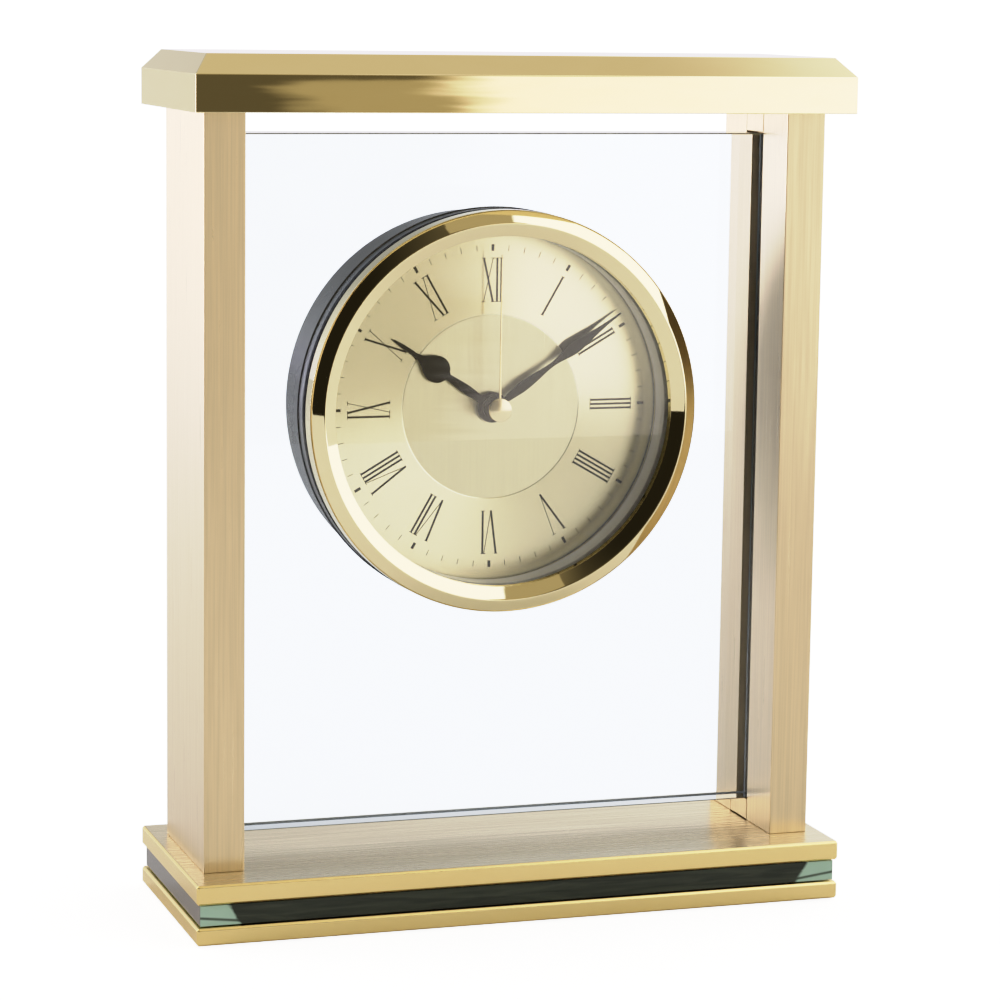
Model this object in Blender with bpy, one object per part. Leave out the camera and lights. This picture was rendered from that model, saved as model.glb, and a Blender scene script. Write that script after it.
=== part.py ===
"""Mantel clock: a glass panel between two brass pillars carries a round quartz insert.

Frame: metres, +Z up, origin under the middle of the base, front of the dial facing -Y.
Clock angles run clockwise from 12 as seen from the front.
"""
import math

import bmesh
import bpy
from mathutils import Matrix, Vector

MM = 0.001
GAP = 0.3 * MM                 # between pieces that touch on the real clock
PAST = 1.0 * MM                # a cutter runs this far past the faces it opens

# --- Case: driving sizes -------------------------------------------------------
HEIGHT = 200.0 * MM
WIDTH = 156.8 * MM             # base and cap share one width
BASE_DEPTH = 58.4 * MM
CAP_DEPTH = 56.0 * MM
CAP_HEIGHT = 12.8 * MM
CAP_CHAMFER_DROP = 4.4 * MM    # height of the sloping rim round the cap's top
CAP_CHAMFER_END = 3.6 * MM     # its width at the two ends
CAP_CHAMFER_SIDE = 5.2 * MM    # its width at the front and back
BASE_LAYERS = (4.7 * MM, 5.0 * MM, 4.8 * MM)   # bottom plate, glass slab, top plate
PLATE_EDGE = 0.5 * MM          # broken edge of the two brass plates
SLAB_INSET = 0.9 * MM
FOOT_RISE = 0.4 * MM           # how far the felt lifts the bottom plate
FELT_THICKNESS = 1.0 * MM
FELT_INSET = 3.0 * MM

PILLAR_INSET = 4.0 * MM        # from the end of the base
PILLAR_WIDTH = 9.5 * MM
PILLAR_DEPTH = 38.3 * MM
PILLAR_Y = 0.4 * MM
PILLAR_EDGE = 0.4 * MM
PANEL_THICKNESS = 10.0 * MM
PANEL_EDGE = 0.4 * MM
PANEL_FRONT_Y = -4.0 * MM
PANEL_END_GAP = 5.4 * MM       # open gap above and below the panel
GROOVE_DEPTH = 2.4 * MM

SCREW_R = 1.9 * MM
SCREW_HOLE_R = 2.2 * MM
SCREW_HEAD_R = 3.6 * MM
SCREW_HEAD_HEIGHT = 1.8 * MM
SCREW_SPACING = 22.0 * MM      # front to back, under each pillar
SCREW_REACH = 17.0 * MM        # into the pillar
STUD_REACH = 9.0 * MM          # into the cap
STUD_OUTBOARD = 0.9 * MM       # studs and screws sit this far outboard of the pillar's middle

# --- Insert: radii about the dial's axis, and places along Y ----------------------
DIAL_Z = 117.2 * MM
BEZEL_R = 47.2 * MM
BEZEL_CREST_R = 44.0 * MM
BEZEL_LIP_R = 41.1 * MM
BEZEL_RIM_Y = -8.4 * MM        # front edge of the bezel's outer wall
BEZEL_CREST_Y = -10.5 * MM
BEZEL_LIP_Y = -7.2 * MM
CREST_FLAT = 0.25 * MM         # half width of the flat on the crest
LENS_R = 43.0 * MM
LENS_THICKNESS = 1.8 * MM
LENS_SEAT = 0.4 * MM           # the seat is this far behind the lip
SEAL_THICKNESS = 0.6 * MM
RIM_BREAK = 0.25 * MM          # broken edge of the rim
SPIGOT_Y = -1.5 * MM           # the bezel's spigot starts here and runs forward to the lens
DRUM_R = 45.6 * MM
DRUM_WALL = 1.0 * MM
DRUM_REAR_Y = 23.4 * MM
SLEEVE_WALL = 0.5 * MM
DIAL_Y = 3.4 * MM              # front face of the dial
DIAL_THICKNESS = 0.6 * MM
DIAL_R = 44.2 * MM
DIAL_HOLE_R = 3.2 * MM
COVER_THICKNESS = 1.4 * MM
SUPPORT_RING_BORE_R = 41.5 * MM
SKIRT_WALL = 1.3 * MM          # skirt of the rear cover
SKIRT_GAP = 0.4 * MM           # between the movement's back plate and the skirt's front edge
WINDOW_ENDS = 1.3 * MM         # the cover's window is this much longer than the cell at each end
WINDOW_SIDES = 0.6 * MM

# --- Movement ----------------------------------------------------------------------
MOVEMENT_SIZE = 56.0 * MM
MOVEMENT_FRONT_Y = 4.4 * MM
MOVEMENT_SHELL_Y = 19.0 * MM   # rear edge of the front shell
MOVEMENT_BACK_Y = 20.4 * MM
SHELL_WALL = 1.2 * MM
FLOOR_WALL = 1.0 * MM
BATTERY_R = 7.1 * MM
BATTERY_LENGTH = 49.8 * MM
BATTERY_Z = -19.45 * MM        # below the dial's axis
BATTERY_Y = 13.0 * MM
BATTERY_NUB = (1.2 * MM, 2.6 * MM)     # length and radius
PARTITION_TOP = -10.9 * MM
PARTITION_BOTTOM = -12.1 * MM
CONTACT_GAP = 0.7 * MM         # from the end of the cell
CONTACT_THICKNESS = 0.5 * MM
CONTACT_HALF_HEIGHT = 6.0 * MM
CONTACT_FRONT_GAP = 1.1 * MM   # from the floor of the shell
CONTACT_SETBACK = 1.0 * MM     # from the shell's rear edge

STATOR_Y = 11.6 * MM           # front face of the stator plate
STATOR_THICKNESS = 1.0 * MM
STATOR_ARM = 11.0 * MM         # half width, from the rotor's middle
STATOR_LEG = 3.0 * MM
STATOR_FOOT = -4.2 * MM        # heights of the foot, the waist and the top, from the rotor's middle
STATOR_WAIST = 3.6 * MM
STATOR_TOP = 9.0 * MM
STATOR_BORE_R = 3.0 * MM
COIL_HALF = 7.7 * MM
COIL_R = 2.3 * MM
COIL_FLANGE = (0.9 * MM, 2.9 * MM)     # thickness and radius
COIL_RISE = 7.0 * MM           # above the rotor's middle
BOARD_REAR_Y = 7.6 * MM
BOARD_THICKNESS = 1.0 * MM
BOARD_X = (-24.0 * MM, 10.0 * MM)
BOARD_Z = (15.8 * MM, 26.4 * MM)
CRYSTAL_R = 1.0 * MM
CRYSTAL_HALF = 3.0 * MM
CRYSTAL_PLACE = (-19.0 * MM, 22.0 * MM)
CRYSTAL_OFF_BOARD = 1.3 * MM

WHEEL_THICKNESS = 0.8 * MM
SECONDS_SHAFT_R = 0.45 * MM
MINUTE_PIPE = (0.60 * MM, 1.25 * MM)   # bore and outside radius
HOUR_PIPE = (1.45 * MM, 2.10 * MM)
PIPE_CLEARANCE = 0.2 * MM      # round a pipe or shaft that turns inside another piece
MINUTE_PIPE_FRONT_Y = 0.2 * MM
MINUTE_PIPE_REAR_Y = 10.2 * MM
HOUR_PIPE_FRONT_Y = 1.6 * MM
SECONDS_SHAFT_FRONT_Y = -2.6 * MM
MOTION_SHAFT = (0.50 * MM, 8.6 * MM)   # radius and rear end
THIRD_SHAFT_R = 0.50 * MM
FIFTH_SHAFT = (0.40 * MM, 10.3 * MM)   # radius and front end
ROTOR_SHAFT = (0.35 * MM, 10.4 * MM)
MAGNET_R = 2.6 * MM
MAGNET_Y = (11.1 * MM, 13.1 * MM)
WASHER_R = 4.0 * MM
WASHER_THICKNESS = 0.3 * MM
WASHER_GAP = 0.4 * MM          # behind the motion wheel's plane
KNOB_SHAFT_R = 1.1 * MM
KNOB_SHAFT_HOLE_R = 1.35 * MM
KNOB_SHAFT_LEAD = 0.8 * MM     # the shaft starts this far in front of its gear
KNOB_SHAFT_REAR_Y = 21.4 * MM
KNOB_GRIP_R = (4.45 * MM, 4.80 * MM)   # flute bottom and flute top
KNOB_GRIP_Y = (21.0 * MM, 24.6 * MM)
KNOB_OPENING_R = 5.6 * MM      # in the rear cover
KNOB_FLUTES = 18

# clock angles of the line from one arbor to the next
KNOB_LINE = math.radians(233)  # from the motion wheel
THIRD_LINE = math.radians(60)  # from the middle
FIFTH_LINE = math.radians(-30)

# teeth and modules of the two gear trains
LARGEST_PINION = 14
CANNON_TEETH, MOTION_TEETH = 10, 40
MOTION_PINION_TEETH, HOUR_TEETH = 8, 24
KNOB_TEETH = 14
MOTION_MODULE = 0.32 * MM
HOUR_MODULE = 0.50 * MM
ROTOR_TEETH, FIFTH_TEETH = 6, 36
FIFTH_PINION_TEETH, FOURTH_TEETH = 8, 40
FOURTH_PINION_TEETH, THIRD_TEETH = 8, 60
THIRD_PINION_TEETH, CENTRE_TEETH = 8, 64
TRAIN_MODULE = 0.30 * MM
THIRD_DISTANCE = TRAIN_MODULE * (CENTRE_TEETH + THIRD_PINION_TEETH) / 2
THIRD_MODULE = 2 * THIRD_DISTANCE / (THIRD_TEETH + FOURTH_PINION_TEETH)
TOOTH_ROOT, TOOTH_TIP = 1.05, 0.80     # in modules, below and above the pitch circle
PINION_MARGIN = 0.1 * MM       # a pinion is longer than the wheel it drives by this at each end

# wheel planes: front face of each, along Y
HOUR_WHEEL_Y = 5.7 * MM
MOTION_WHEEL_Y = 7.1 * MM
CENTRE_WHEEL_Y = 9.0 * MM
THIRD_WHEEL_Y = 10.6 * MM
FOURTH_WHEEL_Y = 12.2 * MM
FIFTH_WHEEL_Y = 13.8 * MM
ARBOR_REAR_Y = 19.0 * MM

# --- Hands --------------------------------------------------------------------------
HOUR_ANGLE = math.radians(304.0)
MINUTE_ANGLE = math.radians(55.0)
SECONDS_ANGLE = 0.0
HOUR_HAND_Y = 2.0 * MM
MINUTE_HAND_Y = 0.5 * MM
SECONDS_HAND_Y = -3.4 * MM
HAND_THICKNESS = 0.5 * MM
HOUR_HUB_R = 3.65 * MM
MINUTE_HUB_R = 2.60 * MM
SPADE_R = 3.3 * MM             # round part of the hour hand
SPADE_Z = 16.6 * MM
SPADE_ANGLES = [math.radians(20 + 17 * k) for k in range(7)]   # round it, from its foot
# half outlines: (half width, distance from the hub's middle)
HOUR_ARM = ((1.15 * MM, 9.0 * MM), (0.8 * MM, 12.9 * MM))
HOUR_TIP = ((1.5 * MM, 21.0 * MM), (0.55 * MM, 24.0 * MM), (0.25 * MM, 29.5 * MM))
MINUTE_ARM = ((0.9 * MM, 5.0 * MM), (1.45 * MM, 8.5 * MM), (1.1 * MM, 12.5 * MM), (0.45 * MM, 17.0 * MM),
              (0.9 * MM, 19.0 * MM), (1.7 * MM, 22.5 * MM), (1.3 * MM, 27.0 * MM), (0.5 * MM, 31.5 * MM),
              (0.2 * MM, 38.3 * MM))
HOUR_NECK = 0.8 * MM           # half width where the arm leaves the hub
MINUTE_NECK = 0.7 * MM
SECONDS_CAP_R = 2.75 * MM
SECONDS_CAP_Y = (-1.0 * MM, -0.1 * MM)     # from the plane of the needle's back
SECONDS_TUBE = (1.0 * MM, -0.4 * MM)       # radius and rear end
NEEDLE_HALF = 0.25 * MM
NEEDLE_THICKNESS = 0.3 * MM
NEEDLE_TAIL = 0.2 * MM
NEEDLE_LENGTH = 36.5 * MM

ROUND = 48                     # sides on the large rings
MEDIUM_ROUND = 32              # on the battery, the seconds hand's cap and their openings
SMALL_ROUND = 16               # on shafts and pipes
SMOOTH_BELOW = math.radians(32)        # edges sharper than this stay sharp
MERGE = 1e-7

# finishes: base colour, roughness, metallic, alpha
POLISHED_GOLD = ((0.83, 0.66, 0.36), 0.16, 1.0, 1.0)
BRUSHED_GOLD = ((0.80, 0.64, 0.38), 0.32, 1.0, 1.0)
CHAMPAGNE = ((0.82, 0.76, 0.55), 0.38, 0.9, 1.0)
SATIN_SILVER = ((0.66, 0.63, 0.56), 0.35, 1.0, 1.0)
CLEAR_GLASS = ((0.93, 0.97, 0.98), 0.03, 0.0, 0.25)
GREEN_GLASS = ((0.16, 0.22, 0.18), 0.05, 0.0, 0.85)
BLACK_PLASTIC = ((0.05, 0.05, 0.055), 0.45, 0.0, 1.0)
GREY_PLASTIC = ((0.16, 0.16, 0.17), 0.40, 0.0, 1.0)
WHITE_PLASTIC = ((0.80, 0.80, 0.77), 0.45, 0.0, 1.0)
BLACK_RUBBER = ((0.03, 0.03, 0.03), 0.75, 0.0, 1.0)
BLACK_FELT = ((0.03, 0.035, 0.03), 0.95, 0.0, 1.0)
BLACK_ENAMEL = ((0.03, 0.03, 0.035), 0.35, 0.0, 1.0)
STEEL = ((0.62, 0.62, 0.63), 0.28, 1.0, 1.0)
GEAR_BRASS = ((0.78, 0.60, 0.27), 0.30, 1.0, 1.0)
COPPER_WIRE = ((0.72, 0.36, 0.18), 0.40, 1.0, 1.0)
BOARD_GREEN = ((0.05, 0.28, 0.12), 0.50, 0.0, 1.0)
BATTERY_JACKET = ((0.10, 0.10, 0.12), 0.35, 0.2, 1.0)


# --- Helpers ----------------------------------------------------------------------------

def clear_scene():
    for old in list(bpy.data.objects):
        bpy.data.objects.remove(old, do_unlink=True)


def finish_material(name, finish):
    colour, roughness, metallic, alpha = finish
    mat = bpy.data.materials.new(name)
    mat.use_nodes = True
    shader = mat.node_tree.nodes["Principled BSDF"]
    shader.inputs["Base Color"].default_value = (*colour, 1.0)
    shader.inputs["Roughness"].default_value = roughness
    shader.inputs["Metallic"].default_value = metallic
    shader.inputs["Alpha"].default_value = alpha
    mat.diffuse_color = (*colour, alpha)
    return mat


def empty(name, location=(0, 0, 0), parent=None):
    obj = bpy.data.objects.new(name, None)
    bpy.context.scene.collection.objects.link(obj)
    obj.parent = parent
    obj.location = location
    return obj


def piece(name, bm, finish, parent, location=(0, 0, 0), smooth=False):
    """Make one named object from a bmesh, with its own material."""
    bmesh.ops.recalc_face_normals(bm, faces=bm.faces)
    mesh = bpy.data.meshes.new(name)
    bm.to_mesh(mesh)
    bm.free()
    if smooth:
        mesh.shade_smooth()
        mesh.set_sharp_from_angle(angle=SMOOTH_BELOW)
    obj = bpy.data.objects.new(name, mesh)
    bpy.context.scene.collection.objects.link(obj)
    obj.parent = parent
    obj.location = location
    if finish:
        mesh.materials.append(finish_material(name, finish))
    return obj


def combine(target, bm, operation, location=(0, 0, 0)):
    """Cut or add a helper shape, which is hidden and isn't a part of the clock."""
    count = len(target.modifiers)
    helper = piece(f"{target.name}_{operation.lower()}_{count}", bm, None, target, location)
    helper.hide_render = True
    helper.display_type = "WIRE"
    modifier = target.modifiers.new(operation.title(), "BOOLEAN")
    modifier.operation = operation
    modifier.object = helper
    modifier.solver = "EXACT"


def cut(target, bm, location=(0, 0, 0)):
    combine(target, bm, "DIFFERENCE", location)


def add(target, bm, location=(0, 0, 0)):
    combine(target, bm, "UNION", location)


def box(low, high, bevel=0.0):
    """A box between two corners, with its edges broken by bevel."""
    low, high = Vector(low), Vector(high)
    bm = bmesh.new()
    bmesh.ops.create_cube(bm, size=1.0)
    size = high - low
    bmesh.ops.scale(bm, vec=size, verts=bm.verts)
    bmesh.ops.translate(bm, vec=(low + high) / 2, verts=bm.verts)
    if bevel:
        bmesh.ops.bevel(bm, geom=bm.edges[:], offset=bevel, segments=1, affect="EDGES")
    return bm


def turned(profile, sides=ROUND):
    """Spin (radius, y) points about the Y axis. The outline is closed, or both ends are on the axis."""
    bm = bmesh.new()
    verts = [bm.verts.new((r, y, 0)) for r, y in profile]
    on_axis = profile[0][0] == 0 and profile[-1][0] == 0
    pairs = list(zip(verts, verts[1:]))
    if not on_axis:
        pairs.append((verts[-1], verts[0]))
    edges = [bm.edges.new(pair) for pair in pairs]
    bmesh.ops.spin(bm, geom=verts + edges, cent=(0, 0, 0), axis=(0, 1, 0),
                   angle=2 * math.pi, steps=sides, use_merge=True)
    bmesh.ops.remove_doubles(bm, verts=bm.verts, dist=MERGE)
    return bm


def ring(inner, outer, y0, y1, sides=ROUND):
    return turned([(outer, y0), (outer, y1), (inner, y1), (inner, y0)], sides)


def disc(radius, y0, y1, sides=ROUND):
    return turned([(0, y0), (radius, y0), (radius, y1), (0, y1)], sides)


def along(bm, axis):
    """Turn a shape made about Y so that it lies along X or Z."""
    turn = {"X": Matrix.Rotation(-math.pi / 2, 3, "Z"), "Z": Matrix.Rotation(math.pi / 2, 3, "X")}[axis]
    bmesh.ops.rotate(bm, cent=(0, 0, 0), matrix=turn, verts=bm.verts)
    return bm


def plate(outline, y0, y1):
    """Extrude an (x, z) outline from y0 to y1."""
    bm = bmesh.new()
    face = bm.faces.new([bm.verts.new((x, y0, z)) for x, z in outline])
    made = bmesh.ops.extrude_face_region(bm, geom=[face])["geom"]
    moved = [item for item in made if isinstance(item, bmesh.types.BMVert)]
    bmesh.ops.translate(bm, vec=(0, y1 - y0, 0), verts=moved)
    return bm


def at_clock(radius, angle):
    """(x, z) of a point at a clock angle."""
    return radius * math.sin(angle), radius * math.cos(angle)


def gear(teeth, module, phase, y0, y1):
    """A straight-flanked gear with one tooth centred on the clock angle phase.

    A pinion's teeth have flat tips, and a wheel's finer teeth come to a point.
    """
    pitch_r = module * teeth / 2
    pitch = 2 * math.pi / teeth
    root, tip = pitch_r - TOOTH_ROOT * module, pitch_r + TOOTH_TIP * module
    flat_tooth = ((root, -0.27), (tip, -0.10), (tip, 0.10), (root, 0.27))
    pointed_tooth = ((root, -0.5), (tip, 0.0))
    tooth = flat_tooth if teeth <= LARGEST_PINION else pointed_tooth
    outline = [at_clock(radius, phase + pitch * (k + share)) for k in range(teeth) for radius, share in tooth]
    return plate(outline, y0, y1)


def meshed_phase(driver_teeth, driver_phase, line, teeth):
    """Tooth angle that sets a gear in mesh with its driver, along the clock angle from it."""
    past = ((line - driver_phase) * driver_teeth / (2 * math.pi)) % 1.0
    return line + math.pi - (0.5 - past) * 2 * math.pi / teeth


def direction(start, end):
    return math.atan2(end[0] - start[0], end[1] - start[1])


# --- Case -----------------------------------------------------------------------------

def base_levels():
    bottom, slab, top = BASE_LAYERS
    half = GAP / 2
    return ((FOOT_RISE, bottom - half), (bottom + half, bottom + slab - half),
            (bottom + slab + half, bottom + slab + top))


def screw_places():
    """(name, x, y) of the screws under the pillars and the studs above them."""
    x = WIDTH / 2 - PILLAR_INSET - PILLAR_WIDTH / 2 + STUD_OUTBOARD
    for side, sign in (("left", -1), ("right", 1)):
        for end, step in (("front", -1), ("rear", 1)):
            yield f"{side}_{end}", sign * x, PILLAR_Y + step * SCREW_SPACING / 2


def upright(radius, z0, z1):
    return along(disc(radius, z0, z1, SMALL_ROUND), "Z")


def build_base(root):
    half_x, half_y = WIDTH / 2, BASE_DEPTH / 2
    (b0, b1), (s0, s1), (t0, t1) = base_levels()
    felt_x, felt_y = half_x - FELT_INSET, half_y - FELT_INSET
    piece("felt_pad", box((-felt_x, -felt_y, 0), (felt_x, felt_y, FELT_THICKNESS)), BLACK_FELT, root)

    bottom = piece("base_bottom_plate", box((-half_x, -half_y, b0), (half_x, half_y, b1), PLATE_EDGE),
                   POLISHED_GOLD, root)
    recess_x, recess_y = felt_x + GAP, felt_y + GAP
    recess_top = FELT_THICKNESS + GAP
    cut(bottom, box((-recess_x, -recess_y, -PAST), (recess_x, recess_y, recess_top)))

    slab = piece("base_glass_slab", box((-half_x + SLAB_INSET, -half_y + SLAB_INSET, s0),
                                        (half_x - SLAB_INSET, half_y - SLAB_INSET, s1)),
                 GREEN_GLASS, root)
    top = piece("base_top_plate", box((-half_x, -half_y, t0), (half_x, half_y, t1), PLATE_EDGE),
                BRUSHED_GOLD, root)

    head_low = recess_top + GAP
    head_top = head_low + SCREW_HEAD_HEIGHT
    for name, x, y in screw_places():
        for part, z0, z1 in ((slab, s0 - PAST, s1 + PAST), (top, t0 - PAST, t1 + PAST)):
            cut(part, upright(SCREW_HOLE_R, z0, z1), (x, y, 0))
        pocket_r, pocket_top = SCREW_HEAD_R + GAP, head_top + GAP
        cut(bottom, along(turned([(0, 0), (pocket_r, 0), (pocket_r, pocket_top), (SCREW_HOLE_R, pocket_top),
                                  (SCREW_HOLE_R, b1 + PAST), (0, b1 + PAST)], SMALL_ROUND), "Z"), (x, y, 0))
        screw = along(turned([(0, head_low), (SCREW_HEAD_R, head_low), (SCREW_HEAD_R, head_top),
                              (SCREW_R, head_top), (SCREW_R, t1 + SCREW_REACH), (0, t1 + SCREW_REACH)],
                             SMALL_ROUND), "Z")
        piece(f"base_screw_{name}", screw, STEEL, root, (x, y, 0), smooth=True)
    return t1


def build_pillars(root, base_top):
    cap_bottom = HEIGHT - CAP_HEIGHT
    low, high = base_top + GAP, cap_bottom - GAP
    outer = WIDTH / 2 - PILLAR_INSET
    inner = outer - PILLAR_WIDTH
    front, rear = PILLAR_Y - PILLAR_DEPTH / 2, PILLAR_Y + PILLAR_DEPTH / 2
    panel_rear = PANEL_FRONT_Y + PANEL_THICKNESS
    panel_low, panel_high = base_top + PANEL_END_GAP, cap_bottom - PANEL_END_GAP
    pillars = {}
    for side, sign in (("left", -1), ("right", 1)):
        xs = sorted((sign * inner, sign * outer))
        pillar = piece(f"pillar_{side}", box((xs[0], front, low), (xs[1], rear, high), PILLAR_EDGE),
                       BRUSHED_GOLD, root)
        groove = sorted((sign * (inner - PAST), sign * (inner + GROOVE_DEPTH)))
        cut(pillar, box((groove[0], PANEL_FRONT_Y - GAP, low - PAST),
                        (groove[1], panel_rear + GAP, high + PAST)))
        strip = sorted((sign * inner, sign * (inner + GROOVE_DEPTH - GAP)))
        for end, z0, z1 in (("lower", low, panel_low - GAP), ("upper", panel_high + GAP, high)):
            piece(f"panel_rest_{side}_{end}", box((strip[0], PANEL_FRONT_Y, z0), (strip[1], panel_rear, z1)),
                  BRUSHED_GOLD, root)
        pillars[side] = pillar
    return pillars, (panel_low, panel_high), inner + GROOVE_DEPTH - GAP


def build_cap(root, pillars, base_top):
    half_x, half_y = WIDTH / 2, CAP_DEPTH / 2
    bottom = HEIGHT - CAP_HEIGHT
    bm = box((-half_x, -half_y, bottom), (half_x, half_y, HEIGHT - CAP_CHAMFER_DROP))
    rim = [f for f in bm.faces if f.normal.z > 0.5]
    raised = bmesh.ops.extrude_face_region(bm, geom=rim)["geom"]
    verts = [v for v in raised if isinstance(v, bmesh.types.BMVert)]
    bmesh.ops.delete(bm, geom=rim, context="FACES_ONLY")
    for vert in verts:
        vert.co.z = HEIGHT
        vert.co.x -= math.copysign(CAP_CHAMFER_END, vert.co.x)
        vert.co.y -= math.copysign(CAP_CHAMFER_SIDE, vert.co.y)
    cap = piece("cap", bm, POLISHED_GOLD, root)

    stud_low, stud_high = bottom - SCREW_REACH, bottom + STUD_REACH
    for name, x, y in screw_places():
        pillar = pillars[name.split("_")[0]]
        cut(pillar, upright(SCREW_HOLE_R, base_top - PAST, base_top + SCREW_REACH + GAP), (x, y, 0))
        cut(pillar, upright(SCREW_HOLE_R, stud_low - GAP, bottom + PAST), (x, y, 0))
        cut(cap, upright(SCREW_HOLE_R, bottom - PAST, stud_high + GAP), (x, y, 0))
        piece(f"cap_stud_{name}", upright(SCREW_R, stud_low, stud_high), STEEL, root, (x, y, 0), smooth=True)


def build_panel(root, axis, span, half_width):
    rear = PANEL_FRONT_Y + PANEL_THICKNESS
    panel = piece("glass_panel", box((-half_width, PANEL_FRONT_Y, span[0]), (half_width, rear, span[1]),
                                     PANEL_EDGE), CLEAR_GLASS, root)
    hole = DRUM_R + 2 * GAP + SLEEVE_WALL
    cut(panel, disc(hole + GAP, PANEL_FRONT_Y - PAST, rear + PAST), axis.location)
    piece("rubber_sleeve", ring(DRUM_R + GAP, hole, PANEL_FRONT_Y + GAP, rear - GAP), BLACK_RUBBER, axis, smooth=True)


# --- Insert ----------------------------------------------------------------------------

def build_insert(axis):
    flange_y = PANEL_FRONT_Y - GAP
    seat_y = BEZEL_LIP_Y + LENS_SEAT
    bore = LENS_R + GAP
    spigot_r = DRUM_R - DRUM_WALL - GAP
    bezel = [(BEZEL_R, flange_y), (BEZEL_R, BEZEL_RIM_Y + RIM_BREAK),
             (BEZEL_R - RIM_BREAK, BEZEL_RIM_Y - RIM_BREAK),
             (BEZEL_CREST_R + CREST_FLAT, BEZEL_CREST_Y), (BEZEL_CREST_R - CREST_FLAT, BEZEL_CREST_Y),
             (BEZEL_LIP_R, BEZEL_LIP_Y), (BEZEL_LIP_R, seat_y), (bore, seat_y), (bore, SPIGOT_Y),
             (spigot_r, SPIGOT_Y), (spigot_r, flange_y)]
    piece("bezel", turned(bezel), POLISHED_GOLD, axis, smooth=True)

    lens_y = seat_y + GAP
    lens_rear = lens_y + LENS_THICKNESS
    piece("lens", disc(LENS_R, lens_y, lens_rear), CLEAR_GLASS, axis, smooth=True)
    seal_y = lens_rear + GAP
    seal_rear = seal_y + SEAL_THICKNESS
    piece("lens_seal", ring(BEZEL_LIP_R + GAP, LENS_R, seal_y, seal_rear), BLACK_RUBBER, axis, smooth=True)
    piece("dial_ring", ring(BEZEL_LIP_R, LENS_R, seal_rear + GAP, DIAL_Y - GAP), SATIN_SILVER, axis, smooth=True)
    dial_rear = DIAL_Y + DIAL_THICKNESS
    piece("dial_plate", ring(DIAL_HOLE_R, DIAL_R, DIAL_Y, dial_rear), CHAMPAGNE, axis, smooth=True)

    bore_r = DRUM_R - DRUM_WALL
    piece("drum_housing", ring(bore_r, DRUM_R, PANEL_FRONT_Y, DRUM_REAR_Y), GREY_PLASTIC, axis, smooth=True)
    skirt_y = MOVEMENT_BACK_Y + SKIRT_GAP
    piece("dial_support_ring", ring(SUPPORT_RING_BORE_R, spigot_r, dial_rear + GAP, skirt_y - GAP),
          BLACK_PLASTIC, axis, smooth=True)

    cover_y = DRUM_REAR_Y - COVER_THICKNESS
    skirt_bore = spigot_r - SKIRT_WALL
    cover = piece("rear_cover", turned([(0, cover_y), (skirt_bore, cover_y), (skirt_bore, skirt_y),
                                        (spigot_r, skirt_y), (spigot_r, DRUM_REAR_Y), (0, DRUM_REAR_Y)]),
                  GREY_PLASTIC, axis, smooth=True)
    window_x = BATTERY_LENGTH / 2 + WINDOW_ENDS
    window_z = BATTERY_R + WINDOW_SIDES
    cut(cover, box((-window_x, skirt_y, BATTERY_Z - window_z),
                   (window_x, DRUM_REAR_Y + PAST, BATTERY_Z + window_z)))
    return cover


# --- Movement ------------------------------------------------------------------------------

def gear_places():
    """(x, z) of every arbor, from the dial's axis."""
    places = {"centre": (0.0, 0.0)}
    motion_distance = MOTION_MODULE * (CANNON_TEETH + MOTION_TEETH) / 2
    places["motion"] = (-motion_distance, 0.0)
    knob_distance = MOTION_MODULE * (MOTION_TEETH + KNOB_TEETH) / 2
    knob_step = at_clock(knob_distance, KNOB_LINE)
    places["knob"] = (places["motion"][0] + knob_step[0], knob_step[1])
    places["third"] = at_clock(THIRD_DISTANCE, THIRD_LINE)
    fifth_distance = TRAIN_MODULE * (FOURTH_TEETH + FIFTH_PINION_TEETH) / 2
    places["fifth"] = at_clock(fifth_distance, FIFTH_LINE)
    rotor_distance = TRAIN_MODULE * (FIFTH_TEETH + ROTOR_TEETH) / 2
    places["rotor"] = (places["fifth"][0], places["fifth"][1] + rotor_distance)
    return places


def arbor(name, axis, place, shaft_r, y0, y1, finish):
    """A plain shaft on its own axis, ready for its wheels to be added."""
    return piece(name, disc(shaft_r, y0, y1, SMALL_ROUND), finish, axis, (place[0], 0, place[1]))


def pinion(teeth, module, phase, wheel_y, margin=PINION_MARGIN):
    """A pinion in the plane of the wheel it drives, a little longer than that wheel."""
    return gear(teeth, module, phase, wheel_y - margin, wheel_y + WHEEL_THICKNESS + margin)


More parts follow.
